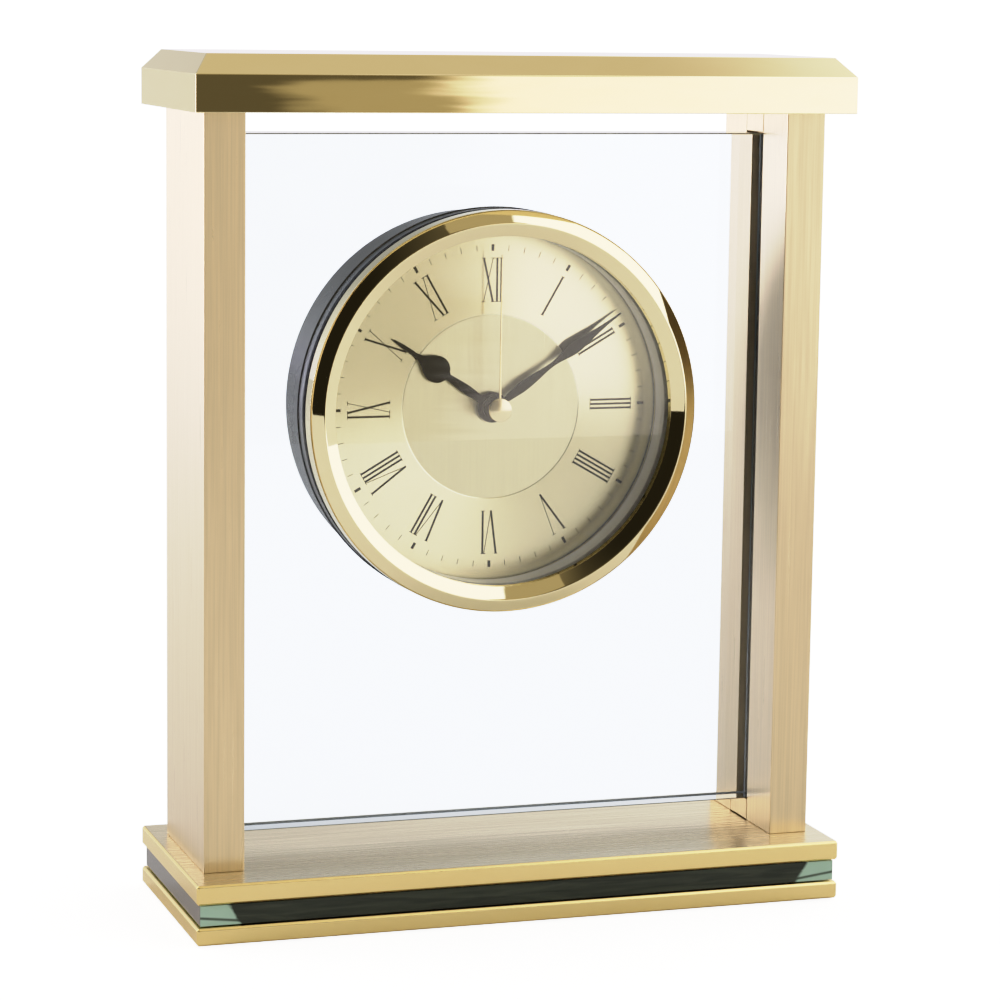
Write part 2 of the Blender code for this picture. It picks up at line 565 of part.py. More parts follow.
def build_setting_train(axis, places):
    """Minute pipe, motion wheel, hour wheel and setting knob."""
    centre = places["centre"]
    thick = WHEEL_THICKNESS
    bore, outside = MINUTE_PIPE
    minute = piece("minute_arbor", ring(bore, outside, MINUTE_PIPE_FRONT_Y, MINUTE_PIPE_REAR_Y, SMALL_ROUND),
                   STEEL, axis)
    add(minute, pinion(CANNON_TEETH, MOTION_MODULE, 0.0, MOTION_WHEEL_Y))
    cut(minute, disc(bore, MINUTE_PIPE_FRONT_Y - PAST, MINUTE_PIPE_REAR_Y + PAST, SMALL_ROUND))
    washer_y = MOTION_WHEEL_Y + thick + WASHER_GAP
    piece("clutch_washer", ring(outside + GAP, WASHER_R, washer_y, washer_y + WASHER_THICKNESS, SMALL_ROUND),
          STEEL, axis)

    to_motion = direction(centre, places["motion"])
    shaft_r, shaft_rear = MOTION_SHAFT
    motion = arbor("motion_wheel", axis, places["motion"], shaft_r, HOUR_WHEEL_Y, shaft_rear, WHITE_PLASTIC)
    motion_phase = meshed_phase(CANNON_TEETH, 0.0, to_motion, MOTION_TEETH)
    add(motion, gear(MOTION_TEETH, MOTION_MODULE, motion_phase, MOTION_WHEEL_Y, MOTION_WHEEL_Y + thick))
    add(motion, gear(MOTION_PINION_TEETH, HOUR_MODULE, 0.0, HOUR_WHEEL_Y, MOTION_WHEEL_Y + thick / 2))

    bore, outside = HOUR_PIPE
    hour = piece("hour_wheel", ring(bore, outside, HOUR_PIPE_FRONT_Y, HOUR_WHEEL_Y + thick, SMALL_ROUND),
                 GEAR_BRASS, axis)
    hour_phase = meshed_phase(MOTION_PINION_TEETH, 0.0, to_motion + math.pi, HOUR_TEETH)
    add(hour, gear(HOUR_TEETH, HOUR_MODULE, hour_phase, HOUR_WHEEL_Y, HOUR_WHEEL_Y + thick))
    cut(hour, disc(bore, HOUR_PIPE_FRONT_Y - PAST, HOUR_WHEEL_Y + thick + PAST, SMALL_ROUND))

    to_knob = direction(places["motion"], places["knob"])
    knob = arbor("setting_knob", axis, places["knob"], KNOB_SHAFT_R, MOTION_WHEEL_Y - KNOB_SHAFT_LEAD,
                 KNOB_SHAFT_REAR_Y, BLACK_PLASTIC)
    knob_phase = meshed_phase(MOTION_TEETH, motion_phase, to_knob, KNOB_TEETH)
    add(knob, gear(KNOB_TEETH, MOTION_MODULE, knob_phase, MOTION_WHEEL_Y, MOTION_WHEEL_Y + thick))
    flute = math.pi / KNOB_FLUTES
    grip = [at_clock(KNOB_GRIP_R[1 - k % 2], flute * (k + 1)) for k in range(2 * KNOB_FLUTES)]
    add(knob, plate(grip, *KNOB_GRIP_Y))


def build_going_train(axis, places):
    """Seconds arbor, third wheel, centre wheel, fifth wheel and rotor."""
    centre, third, fifth = places["centre"], places["third"], places["fifth"]
    thick = WHEEL_THICKNESS
    seconds = piece("seconds_arbor", disc(SECONDS_SHAFT_R, SECONDS_SHAFT_FRONT_Y, ARBOR_REAR_Y, SMALL_ROUND),
                    STEEL, axis)
    add(seconds, gear(FOURTH_TEETH, TRAIN_MODULE, 0.0, FOURTH_WHEEL_Y, FOURTH_WHEEL_Y + thick))
    add(seconds, pinion(FOURTH_PINION_TEETH, THIRD_MODULE, 0.0, THIRD_WHEEL_Y))

    to_third = direction(centre, third)
    third_wheel = arbor("third_wheel", axis, third, THIRD_SHAFT_R, HOUR_WHEEL_Y, ARBOR_REAR_Y, GEAR_BRASS)
    third_phase = meshed_phase(FOURTH_PINION_TEETH, 0.0, to_third, THIRD_TEETH)
    add(third_wheel, gear(THIRD_TEETH, THIRD_MODULE, third_phase, THIRD_WHEEL_Y, THIRD_WHEEL_Y + thick))
    add(third_wheel, pinion(THIRD_PINION_TEETH, TRAIN_MODULE, 0.0, CENTRE_WHEEL_Y, 2 * PINION_MARGIN))

    centre_phase = meshed_phase(THIRD_PINION_TEETH, 0.0, to_third + math.pi, CENTRE_TEETH)
    centre_wheel = piece("centre_wheel", gear(CENTRE_TEETH, TRAIN_MODULE, centre_phase, CENTRE_WHEEL_Y,
                                              CENTRE_WHEEL_Y + thick), GEAR_BRASS, axis)
    cut(centre_wheel, disc(MINUTE_PIPE[1] + PIPE_CLEARANCE, CENTRE_WHEEL_Y - PAST,
                           CENTRE_WHEEL_Y + thick + PAST, SMALL_ROUND))

    to_fifth = direction(centre, fifth)
    shaft_r, shaft_front = FIFTH_SHAFT
    fifth_wheel = arbor("fifth_wheel", axis, fifth, shaft_r, shaft_front, ARBOR_REAR_Y, WHITE_PLASTIC)
    pinion_phase = meshed_phase(FOURTH_TEETH, 0.0, to_fifth, FIFTH_PINION_TEETH)
    add(fifth_wheel, gear(FIFTH_PINION_TEETH, TRAIN_MODULE, pinion_phase, FOURTH_WHEEL_Y - PINION_MARGIN,
                          FIFTH_WHEEL_Y + thick / 2))
    add(fifth_wheel, gear(FIFTH_TEETH, TRAIN_MODULE, 0.0, FIFTH_WHEEL_Y, FIFTH_WHEEL_Y + thick))

    shaft_r, shaft_front = ROTOR_SHAFT
    rotor = arbor("rotor", axis, places["rotor"], shaft_r, shaft_front, ARBOR_REAR_Y, STEEL)
    rotor_phase = meshed_phase(FIFTH_TEETH, 0.0, direction(fifth, places["rotor"]), ROTOR_TEETH)
    add(rotor, pinion(ROTOR_TEETH, TRAIN_MODULE, rotor_phase, FIFTH_WHEEL_Y, 2 * PINION_MARGIN))
    add(rotor, disc(MAGNET_R, *MAGNET_Y, SMALL_ROUND))


def build_movement(axis, places, cover):
    half = MOVEMENT_SIZE / 2
    inner = half - SHELL_WALL
    floor_y = MOVEMENT_FRONT_Y + FLOOR_WALL
    shell = piece("movement_case", box((-half, MOVEMENT_FRONT_Y, -half), (half, MOVEMENT_SHELL_Y, half)),
                  BLACK_PLASTIC, axis)
    cut(shell, box((-inner, floor_y, PARTITION_TOP), (inner, MOVEMENT_SHELL_Y + PAST, inner)))
    cut(shell, box((-inner, floor_y, -inner), (inner, MOVEMENT_SHELL_Y + PAST, PARTITION_BOTTOM)))
    cut(shell, disc(HOUR_PIPE[1] + PIPE_CLEARANCE, MOVEMENT_FRONT_Y - PAST, floor_y + PAST, SMALL_ROUND))

    back = piece("movement_back", box((-half, MOVEMENT_SHELL_Y + GAP, PARTITION_TOP), (half, MOVEMENT_BACK_Y, half)),
                 BLACK_PLASTIC, axis)
    knob_x, knob_z = places["knob"]
    cut(back, disc(KNOB_SHAFT_HOLE_R, MOVEMENT_SHELL_Y - PAST, MOVEMENT_BACK_Y + PAST, SMALL_ROUND),
        (knob_x, 0, knob_z))
    cut(cover, disc(KNOB_OPENING_R, MOVEMENT_BACK_Y, DRUM_REAR_Y + PAST, MEDIUM_ROUND), (knob_x, 0, knob_z))

    # battery across the bottom, with its two contacts
    nub_length, nub_r = BATTERY_NUB
    end = BATTERY_LENGTH / 2
    body_end = end - nub_length
    cell = along(turned([(0, -end), (BATTERY_R, -end), (BATTERY_R, body_end), (nub_r, body_end), (nub_r, end),
                         (0, end)], MEDIUM_ROUND), "X")
    piece("battery", cell, BATTERY_JACKET, axis, (0, BATTERY_Y, BATTERY_Z), smooth=True)
    near = end + CONTACT_GAP
    for name, sign in (("battery_contact_positive", 1), ("battery_contact_negative", -1)):
        xs = sorted((sign * near, sign * (near + CONTACT_THICKNESS)))
        piece(name, box((xs[0], floor_y + CONTACT_FRONT_GAP, BATTERY_Z - CONTACT_HALF_HEIGHT),
                        (xs[1], MOVEMENT_SHELL_Y - CONTACT_SETBACK, BATTERY_Z + CONTACT_HALF_HEIGHT)), STEEL, axis)

    # stepping motor: stator plate round the rotor, and its coil between the stator's legs
    rotor_x, rotor_z = places["rotor"]
    arm, leg = STATOR_ARM, STATOR_ARM - STATOR_LEG
    outline = [(-arm, STATOR_FOOT), (arm, STATOR_FOOT), (arm, STATOR_TOP), (leg, STATOR_TOP), (leg, STATOR_WAIST),
               (-leg, STATOR_WAIST), (-leg, STATOR_TOP), (-arm, STATOR_TOP)]
    stator_rear = STATOR_Y + STATOR_THICKNESS
    stator = piece("stator", plate(outline, STATOR_Y, stator_rear), STEEL, axis, (rotor_x, 0, rotor_z))
    cut(stator, disc(STATOR_BORE_R, STATOR_Y - PAST, stator_rear + PAST, MEDIUM_ROUND))
    flange, flange_r = COIL_FLANGE
    wound = COIL_HALF - flange
    spool = along(turned([(0, -COIL_HALF), (flange_r, -COIL_HALF), (flange_r, -wound), (COIL_R, -wound),
                          (COIL_R, wound), (flange_r, wound), (flange_r, COIL_HALF), (0, COIL_HALF)],
                         SMALL_ROUND), "X")
    piece("coil", spool, COPPER_WIRE, axis, (rotor_x, (STATOR_Y + stator_rear) / 2, rotor_z + COIL_RISE),
          smooth=True)

    piece("circuit_board", box((BOARD_X[0], BOARD_REAR_Y - BOARD_THICKNESS, BOARD_Z[0]),
                               (BOARD_X[1], BOARD_REAR_Y, BOARD_Z[1])), BOARD_GREEN, axis)
    can = along(disc(CRYSTAL_R, -CRYSTAL_HALF, CRYSTAL_HALF, SMALL_ROUND), "X")
    crystal_x, crystal_z = CRYSTAL_PLACE
    piece("quartz_crystal", can, STEEL, axis, (crystal_x, BOARD_REAR_Y + CRYSTAL_OFF_BOARD, crystal_z), smooth=True)


# --- Hands -------------------------------------------------------------------------------------

def mirrored(half):
    """Close a hand's outline from its right half, given from the hub to the tip."""
    return half + [(-x, z) for x, z in reversed(half) if x > 0]


def hub_arc(radius, neck, steps=10):
    """The right half of a round hub, from below it to where the arm leaves it."""
    start, end = math.pi, math.asin(neck / radius)
    return [at_clock(radius, start + (end - start) * k / steps) for k in range(1, steps + 1)]


def hand(name, half_outline, hub_r, hole_r, y0, angle, axis):
    outline = mirrored([(0.0, -hub_r)] + half_outline)
    bm = plate(outline, y0, y0 + HAND_THICKNESS)
    bmesh.ops.rotate(bm, cent=(0, 0, 0), matrix=Matrix.Rotation(angle, 3, "Y"), verts=bm.verts)
    obj = piece(name, bm, BLACK_ENAMEL, axis)
    cut(obj, disc(hole_r, y0 - PAST, y0 + HAND_THICKNESS + PAST, SMALL_ROUND))


def build_hands(axis):
    spade = [(SPADE_R * math.sin(a), SPADE_Z - SPADE_R * math.cos(a)) for a in SPADE_ANGLES]
    half = hub_arc(HOUR_HUB_R, HOUR_NECK) + list(HOUR_ARM) + spade + list(HOUR_TIP)
    hand("hour_hand", half, HOUR_HUB_R, HOUR_PIPE[1] + GAP, HOUR_HAND_Y, HOUR_ANGLE, axis)

    half = hub_arc(MINUTE_HUB_R, MINUTE_NECK) + list(MINUTE_ARM)
    hand("minute_hand", half, MINUTE_HUB_R, MINUTE_PIPE[1] + GAP, MINUTE_HAND_Y, MINUTE_ANGLE, axis)

    cap_front, cap_rear = SECONDS_HAND_Y + SECONDS_CAP_Y[0], SECONDS_HAND_Y + SECONDS_CAP_Y[1]
    tube_r, tube_rear = SECONDS_TUBE
    seconds = piece("seconds_hand", turned([(0, cap_front), (SECONDS_CAP_R, cap_front), (SECONDS_CAP_R, cap_rear),
                                            (tube_r, cap_rear), (tube_r, tube_rear), (0, tube_rear)],
                                           MEDIUM_ROUND), POLISHED_GOLD, axis, smooth=True)
    seconds.rotation_euler = (0, SECONDS_ANGLE, 0)
    needle = box((-NEEDLE_HALF, SECONDS_HAND_Y - NEEDLE_THICKNESS, -NEEDLE_TAIL),
                 (NEEDLE_HALF, SECONDS_HAND_Y, NEEDLE_LENGTH))
    add(seconds, needle)
    socket_front = SECONDS_SHAFT_FRONT_Y - GAP
    cut(seconds, disc(SECONDS_SHAFT_R + PIPE_CLEARANCE, socket_front, tube_rear + PAST, SMALL_ROUND))


def main():
    clear_scene()
    root = empty("clock")
    axis = empty("dial_axis", (0, 0, DIAL_Z), root)
    base_top = build_base(root)
    pillars, span, half_width = build_pillars(root, base_top)
    build_cap(root, pillars, base_top)
    build_panel(root, axis, span, half_width)
    cover = build_insert(axis)
    places = gear_places()
    build_movement(axis, places, cover)
    build_setting_train(axis, places)
    build_going_train(axis, places)
    build_hands(axis)


main()
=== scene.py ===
"""Looks of the mantel clock: finishes, fine meshes, studio and camera.

Frame: metres, +Z up, the dial faces -Y. Clock angles run clockwise from 12 as seen from the front.
"""
import math

import bmesh
import bpy
from mathutils import Matrix, Vector


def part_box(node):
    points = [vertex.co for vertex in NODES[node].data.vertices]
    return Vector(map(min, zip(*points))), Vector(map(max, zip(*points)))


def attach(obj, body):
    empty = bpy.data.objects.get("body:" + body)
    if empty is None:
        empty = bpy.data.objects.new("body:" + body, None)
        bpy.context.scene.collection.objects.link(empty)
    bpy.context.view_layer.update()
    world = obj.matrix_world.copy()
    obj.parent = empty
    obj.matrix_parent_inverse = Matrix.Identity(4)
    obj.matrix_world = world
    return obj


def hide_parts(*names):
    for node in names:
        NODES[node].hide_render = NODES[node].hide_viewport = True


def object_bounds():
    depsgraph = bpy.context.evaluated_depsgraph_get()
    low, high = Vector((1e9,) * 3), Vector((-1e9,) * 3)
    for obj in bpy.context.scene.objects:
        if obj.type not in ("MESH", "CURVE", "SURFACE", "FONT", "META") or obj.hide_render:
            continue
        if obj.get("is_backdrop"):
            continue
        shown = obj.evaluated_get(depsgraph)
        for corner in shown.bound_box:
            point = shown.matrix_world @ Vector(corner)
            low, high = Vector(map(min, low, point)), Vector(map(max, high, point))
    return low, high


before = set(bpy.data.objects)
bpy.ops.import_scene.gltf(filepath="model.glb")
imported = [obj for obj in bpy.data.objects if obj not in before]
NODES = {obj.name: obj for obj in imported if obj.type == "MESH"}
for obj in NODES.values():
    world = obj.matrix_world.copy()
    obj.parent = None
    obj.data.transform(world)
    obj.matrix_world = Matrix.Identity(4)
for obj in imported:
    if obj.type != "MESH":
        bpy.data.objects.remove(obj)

CAD_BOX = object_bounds()
MM = 0.001

ROUND = 224                    # sides on the large turned pieces
SMALL_ROUND = 64
FILLET_STEPS = 4
SHARP = math.radians(38)       # edges sharper than this stay sharp
MERGE = 1e-6                   # joins the split vertices of a CAD mesh

DIAL_LOW, DIAL_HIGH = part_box("dial_plate")
AXIS = (DIAL_LOW + DIAL_HIGH) / 2
DIAL_Y = DIAL_LOW.y            # front face of the dial
DIAL_R = (DIAL_HIGH.x - DIAL_LOW.x) / 2

FIT = 0.3 * MM                 # clearance between pieces, as in the CAD
CREST_INSET, LIP_INSET = 3.1 * MM, 6.1 * MM    # bezel crest and lip, inwards from its rim
DRUM_WALL = 1.0 * MM

# finishes: linear colours
GOLD = (0.92, 0.78, 0.46)
BEZEL_GOLD = (0.92, 0.80, 0.50)
PLATE_GOLD = (0.94, 0.73, 0.33)
BRASS = (0.79, 0.61, 0.355)
TOP_BRASS = (0.94, 0.81, 0.55)
CHAMPAGNE = (0.96, 0.88, 0.57)
CHAMPAGNE_CENTRE = (0.92, 0.84, 0.54)
SILVER = (0.88, 0.85, 0.78)
HAND_GOLD = (0.90, 0.76, 0.46)
INK = (0.045, 0.038, 0.022)


# --- Shader nodes --------------------------------------------------------------------

class Nodes:
    """Short calls that add nodes to a tree."""

    def __init__(self, tree):
        self.tree = tree

    def feed(self, socket, value):
        """Link a node's output to a socket, or set the socket's own value."""
        if isinstance(value, bpy.types.NodeSocket):
            self.tree.links.new(value, socket)
        else:
            socket.default_value = value

    def add(self, kind, *values, output=0, **settings):
        """Add a node, fill its inputs in order (None leaves one alone), and give one output."""
        node = self.tree.nodes.new("ShaderNode" + kind)
        for name, value in settings.items():
            setattr(node, name, value)
        for socket, value in zip(node.inputs, values):
            if value is not None:
                self.feed(socket, value)
        return node.outputs[output]

    def axis(self, vector, which):
        return self.add("SeparateXYZ", vector, output="XYZ".index(which))

    def math(self, operation, a, b=0.0):
        return self.add("Math", a, b, operation=operation)

    def sum(self, *values):
        total = values[0]
        for value in values[1:]:
            total = self.math("ADD", total, value)
        return total

    def times(self, a, b):
        return self.math("MULTIPLY", a, b)

    def remap(self, value, low, high, to_low=0.0, to_high=1.0, smooth=False):
        kind = "SMOOTHSTEP" if smooth else "LINEAR"
        return self.add("MapRange", value, low, high, to_low, to_high, interpolation_type=kind)

    def mix(self, share, first, second):
        """Blend two colours, each a node's output or three numbers."""
        node = self.tree.nodes.new("ShaderNodeMix")
        node.data_type = "RGBA"
        self.feed(node.inputs[0], share)
        for socket, value in ((node.inputs[6], first), (node.inputs[7], second)):
            self.feed(socket, value if isinstance(value, bpy.types.NodeSocket) else (*value, 1.0))
        return node.outputs[2]


class Finish(Nodes):
    """A material, with the patterns that the finishes share."""

    def __init__(self, name, colour, roughness, metallic=0.0, **sockets):
        self.material = bpy.data.materials.new(name)
        self.material.use_nodes = True
        super().__init__(self.material.node_tree)
        self.shader = self.tree.nodes["Principled BSDF"]
        self.output = self.tree.nodes["Material Output"]
        self.set(Base_Color=(*colour, 1.0), Roughness=roughness, Metallic=metallic, **sockets)

    def set(self, **sockets):
        for name, value in sockets.items():
            self.feed(self.shader.inputs[name.replace("_", " ")], value)

    def place(self, origin=(0, 0, 0)):
        """The position in the frame, in metres, from an origin."""
        here = self.add("TexCoord", output="Object")
        return self.add("VectorMath", here, tuple(origin), operation="SUBTRACT")

    def noise(self, cells, detail=2.0, distortion=0.0, origin=(0, 0, 0)):
        """Noise with its own number of cells per metre along X, Y and Z."""
        where = self.add("VectorMath", self.place(origin), cells, operation="MULTIPLY")
        return self.add("TexNoise", where, None, 1.0, detail, 0.55, 2.0, None, None, distortion)

    def bump(self, height, depth):
        """Raise the surface by height (0 to 1) times depth, in metres, on top of any earlier bump."""
        node = self.tree.nodes.new("ShaderNodeBump")
        node.inputs["Strength"].default_value = 1.0
        node.inputs["Distance"].default_value = depth
        self.feed(node.inputs["Height"], height)
        earlier = self.shader.inputs["Normal"].links
        if earlier:
            self.feed(node.inputs["Normal"], earlier[0].from_socket)
        self.set(Normal=node.outputs["Normal"])

    def grooves_along(self, grain):
        """Turn the anisotropy so that highlights spread across the grain."""
        normal = self.add("NewGeometry", output="Normal")
        self.set(Tangent=self.add("VectorMath", normal, grain, operation="CROSS_PRODUCT"))

    def wear(self, amount=0.05):
        """Roughness with the soft patches that handling and polishing leave."""
        base = self.shader.inputs["Roughness"].default_value
        patches = self.noise((38, 38, 38), 3.0, 0.6)
        self.set(Roughness=self.remap(patches, 0.3, 0.7, base, base + amount))


def polished(name, colour=GOLD, roughness=0.05, ripple=0.0025, haze=0.02):
    """Polished gold plate, with the slight waviness that hand polishing leaves."""
    finish = Finish(name, colour, roughness, 1.0)
    clouds = finish.noise((55, 55, 210), 3.0, 0.8)
    dulled = [c * k for c, k in zip(colour, (0.97, 0.95, 0.90))]
    finish.set(Base_Color=finish.mix(clouds, colour, dulled))
    finish.wear(haze)
    finish.bump(finish.noise((26, 40, 120), 2.0), ripple * MM)
    return finish.material


def brushed(name, grain, cells, light=BRASS, contrast=0.86, roughness=0.30, spread=0.72, coat=0.8,
            relief=0.006):
    """Brushed and lacquered brass: streaks drawn out along the grain, at two widths."""
    finish = Finish(name, light, roughness, 1.0, Anisotropic=spread, Coat_Weight=coat,
                    Coat_Roughness=0.28, Coat_IOR=1.6)
    fine = finish.noise(tuple(cells), 3.0)
    broad = finish.noise(tuple(c * 0.18 for c in cells), 2.0, 0.2)
    streaks = finish.sum(finish.times(fine, 0.85), finish.times(broad, 0.15))
    share = finish.remap(streaks, 0.34, 0.68)
    finish.set(Base_Color=finish.mix(share, [c * contrast for c in light], light))
    finish.set(Roughness=finish.remap(streaks, 0.3, 0.7, roughness + 0.05, roughness - 0.03))
    finish.grooves_along(grain)
    finish.bump(fine, relief * MM)
    return finish.material


def spun(name, colour, roughness=0.26, spread=0.8, origin=AXIS, relief=0.0006):
    """Metal turned about the dial's axis: fine rings, and highlights that run out from the middle."""
    finish = Finish(name, colour, roughness, 1.0, Anisotropic=spread)
    from_axis = finish.place(origin)
    flat = finish.add("VectorMath", from_axis, (1, 0, 1), operation="MULTIPLY")
    radius = finish.add("VectorMath", flat, operation="LENGTH", output="Value")
    rings = finish.add("TexNoise", None, finish.times(radius, 3600), 1.0, 2.0, 0.5, noise_dimensions="1D")
    finish.set(Base_Color=finish.mix(rings, [c * 0.95 for c in colour], colour))
    finish.set(Roughness=finish.remap(rings, 0.3, 0.7, roughness - 0.02, roughness + 0.03))
    finish.set(Tangent=flat)
    finish.bump(rings, relief * MM)
    return finish.material


def plain_metal(name, colour, roughness=0.28):
    """Small machined metal pieces: fine random tool marks."""
    finish = Finish(name, colour, roughness, 1.0)
    marks = finish.noise((900, 2600, 900), 3.0)
    finish.set(Base_Color=finish.mix(marks, [c * 0.82 for c in colour], colour))
    finish.wear(0.12)
    finish.bump(marks, 0.004 * MM)
    return finish.material


def moulded(name, colour, roughness=0.42, grain=0.010, **sockets):
    """Moulded plastic or rubber: a fine matt texture."""
    finish = Finish(name, colour, roughness, 0.0, **sockets)
    speckle = finish.noise((2400, 2400, 2400), 3.0)
    clouds = finish.noise((60, 60, 60), 2.0)
    darker, lighter = [c * 0.82 for c in colour], [min(c * 1.15, 1) for c in colour]
    finish.set(Base_Color=finish.mix(clouds, darker, lighter))
    finish.wear(0.08)
    finish.bump(speckle, grain * MM)
    return finish.material


def felt(name, colour):
    finish = Finish(name, colour, 0.95, 0.0, Sheen_Weight=0.6, Sheen_Roughness=0.5)
    fibres = finish.noise((1500, 1500, 1500), 5.0, 2.5)
    finish.set(Base_Color=finish.mix(fibres, [c * 0.4 for c in colour], [c * 2.2 for c in colour]))
    finish.bump(fibres, 0.25 * MM)
    return finish.material


def glass(name, tint, roughness=0.0, smudge=0.02):
    """Clear glass that lets lamps through, with faint handling marks."""
    finish = Finish(name, tint, roughness, 0.0, Transmission_Weight=1.0, IOR=1.5)
    marks = finish.noise((30, 30, 44), 4.0, 1.5)
    finish.set(Roughness=finish.remap(marks, 0.55, 0.8, roughness, roughness + smudge))
    shadow = finish.add("LightPath", output="Is Shadow Ray")
    open_way = finish.add("BsdfTransparent", (*tint, 1.0))
    mixed = finish.add("MixShader", shadow, finish.shader.outputs[0], open_way)
    finish.feed(finish.output.inputs["Surface"], mixed)
    return finish.material


def ground_edge(name, colour, other):
    """A ground edge of the glass, dark green because light runs a long way in it."""
    finish = Finish(name, colour, 0.30, 0.0, IOR=1.5, Specular_IOR_Level=0.3)
    marks = finish.noise((260, 900, 60), 3.0)
    finish.set(Base_Color=finish.mix(marks, colour, other))
    finish.bump(marks, 0.01 * MM)
    return finish.material


def slab_glass(name):
    """The base's glass: nearly black green inside; bright pale green painted light where a corner would let
    light through, crossed by painted dark facet lines, and ends painted with the grey that light through
    them gives.
    """
    low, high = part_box("base_glass_slab")
    dark, painted_corner_light, side = (0.020, 0.025, 0.015), (0.42, 0.60, 0.48), (0.115, 0.105, 0.105)
    finish = Finish(name, dark, 0.05, 0.0, IOR=1.5, Specular_IOR_Level=0.35)
    here = finish.place((low + high) / 2)
    wobble = finish.noise((260, 260, 420), 2.0, 0.5)
    from_end = finish.math("SUBTRACT", high.x, finish.math("ABSOLUTE", finish.axis(here, "X")))
    lean = finish.times(finish.axis(here, "Z"), 0.55)
    edge = finish.sum(from_end, lean, finish.times(wobble, 1.6 * MM))
    # painted light: the mask for the bright corner patches that light through the glass would make
    corner = finish.remap(edge, 8.4 * MM, 9.4 * MM, 1.0, 0.0, smooth=True)
    # painted shade: a slanted dark line across the painted corner light
    facet = finish.sum(finish.axis(here, "Z"), finish.times(from_end, 0.12), 0.4 * MM)
    line = finish.remap(finish.math("ABSOLUTE", facet), 0.16 * MM, 0.45 * MM, 0.15, 1.0)
    depth = finish.remap(finish.noise((40, 90, 500), 3.0, 1.0), 0.35, 0.75)
    body = finish.mix(depth, dark, (0.046, 0.054, 0.034))
    front = finish.mix(finish.times(corner, line), body, painted_corner_light)
    normal = finish.add("NewGeometry", output="Normal")
    # painted light: the end faces take the grey-mauve of light coming through them
    on_end = finish.remap(finish.math("ABSOLUTE", finish.axis(normal, "X")), 0.6, 0.8)
    finish.set(Base_Color=finish.mix(on_end, front, side))
    finish.bump(finish.noise((120, 120, 300), 2.0), 0.003 * MM)
    return finish.material


def battery_jacket(name):
    """A plain battery sleeve: black, with a copper band at its positive end."""
    low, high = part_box("battery")
    jacket, copper = (0.03, 0.03, 0.035), (0.55, 0.27, 0.10)
    finish = Finish(name, jacket, 0.28, 0.2, Coat_Weight=0.5, Coat_Roughness=0.1)
    along = finish.axis(finish.place(), "X")
    band = finish.remap(along, high.x - 13 * MM, high.x - 12.8 * MM)
    finish.set(Base_Color=finish.mix(band, jacket, copper))
    finish.wear(0.08)
    finish.bump(finish.noise((500, 900, 900), 2.0), 0.004 * MM)
    return finish.material


def make_finishes():
    pillar_cells = (2100, 2100, 30)
    top_cells = (26, 1400, 1400)
    centre_cells = (1500, 1500, 45)
    return {
        "cap_gold": polished("cap_gold", roughness=0.012, ripple=0.002, haze=0.012),
        "plate_edge": polished("plate_edge", PLATE_GOLD, roughness=0.20, ripple=0.002),
        "bezel_gold": polished("bezel_gold", BEZEL_GOLD, roughness=0.02, ripple=0.0006),
        "pillar_brass": brushed("pillar_brass", (0, 0, 1), pillar_cells),
        "top_brass": brushed("top_brass", (1, 0, 0), top_cells, TOP_BRASS, 0.80, 0.27, 0.6,
                             coat=0.25),
        "chapter_ring": spun("chapter_ring", CHAMPAGNE, 0.20, 0.88),
        "dial_centre": brushed("dial_centre", (0, 0, 1), centre_cells, CHAMPAGNE_CENTRE, 0.965, 0.30,
                               0.75, 0, 0.0003),
        "needle_gold": polished("needle_gold", HAND_GOLD, 0.12, 0.0005),
        "spun_cap": spun("spun_cap", HAND_GOLD, 0.20, 0.7),
        "inner_wall": moulded("inner_wall", SILVER, 0.30, 0.002),
        "panel_glass": glass("panel_glass", (0.80, 0.855, 0.935)),
        "lens_glass": glass("lens_glass", (0.995, 0.998, 1.0)),
        "glass_end": ground_edge("glass_end", (0.030, 0.028, 0.016), (0.050, 0.055, 0.036)),
        "glass_arris": ground_edge("glass_arris", (0.30, 0.33, 0.31), (0.44, 0.46, 0.44)),
        "slab_glass": slab_glass("slab_glass"),
        "ink": moulded("dial_ink", INK, 0.5, 0.002, Specular_IOR_Level=0.15),
        "hand_enamel": moulded("hand_enamel", (0.012, 0.010, 0.008), 0.36, 0.002,
                               Specular_IOR_Level=0.10),
        "drum_plastic": moulded("drum_plastic", (0.030, 0.031, 0.030), 0.25, 0.002),
        "cover_plastic": moulded("cover_plastic", (0.045, 0.045, 0.047), 0.48, 0.015),
        "black_plastic": moulded("black_plastic", (0.022, 0.022, 0.024), 0.42),
        "white_plastic": moulded("white_plastic", (0.70, 0.69, 0.65), 0.40, 0.004),
        "rubber": moulded("rubber", (0.012, 0.012, 0.012), 0.7, 0.01),
        "felt": felt("felt", (0.012, 0.020, 0.014)),
        "steel": plain_metal("steel", (0.58, 0.58, 0.59)),
        "gear_brass": plain_metal("gear_brass", (0.78, 0.60, 0.28)),
        "copper": plain_metal("copper", (0.72, 0.33, 0.15), 0.36),
        "board": moulded("board", (0.02, 0.16, 0.06), 0.35, 0.01),
        "battery": battery_jacket("battery"),
    }


# --- Meshes -----------------------------------------------------------------------------

def at_clock(radius, angle):
    return Vector((radius * math.sin(angle), 0.0, radius * math.cos(angle)))


def piece(name, bm, finishes, body="case", replaces=(), weighted=True):
    """Make an object of a bmesh, riding on a CAD body and standing for CAD nodes."""
    bmesh.ops.recalc_face_normals(bm, faces=bm.faces)
    mesh = bpy.data.meshes.new(name)
    bm.to_mesh(mesh)
    bm.free()
    mesh.shade_smooth()
    mesh.set_sharp_from_angle(angle=SHARP)
    for finish in finishes:
        mesh.materials.append(finish)
    obj = bpy.data.objects.new(name, mesh)
    bpy.context.scene.collection.objects.link(obj)
    if weighted:
        add_weighted_normals(obj)
    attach(obj, body)
    if replaces:
        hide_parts(*replaces)
    return obj


def add_weighted_normals(obj):
    normals = obj.modifiers.new("Normals", "WEIGHTED_NORMAL")
    normals.keep_sharp = True


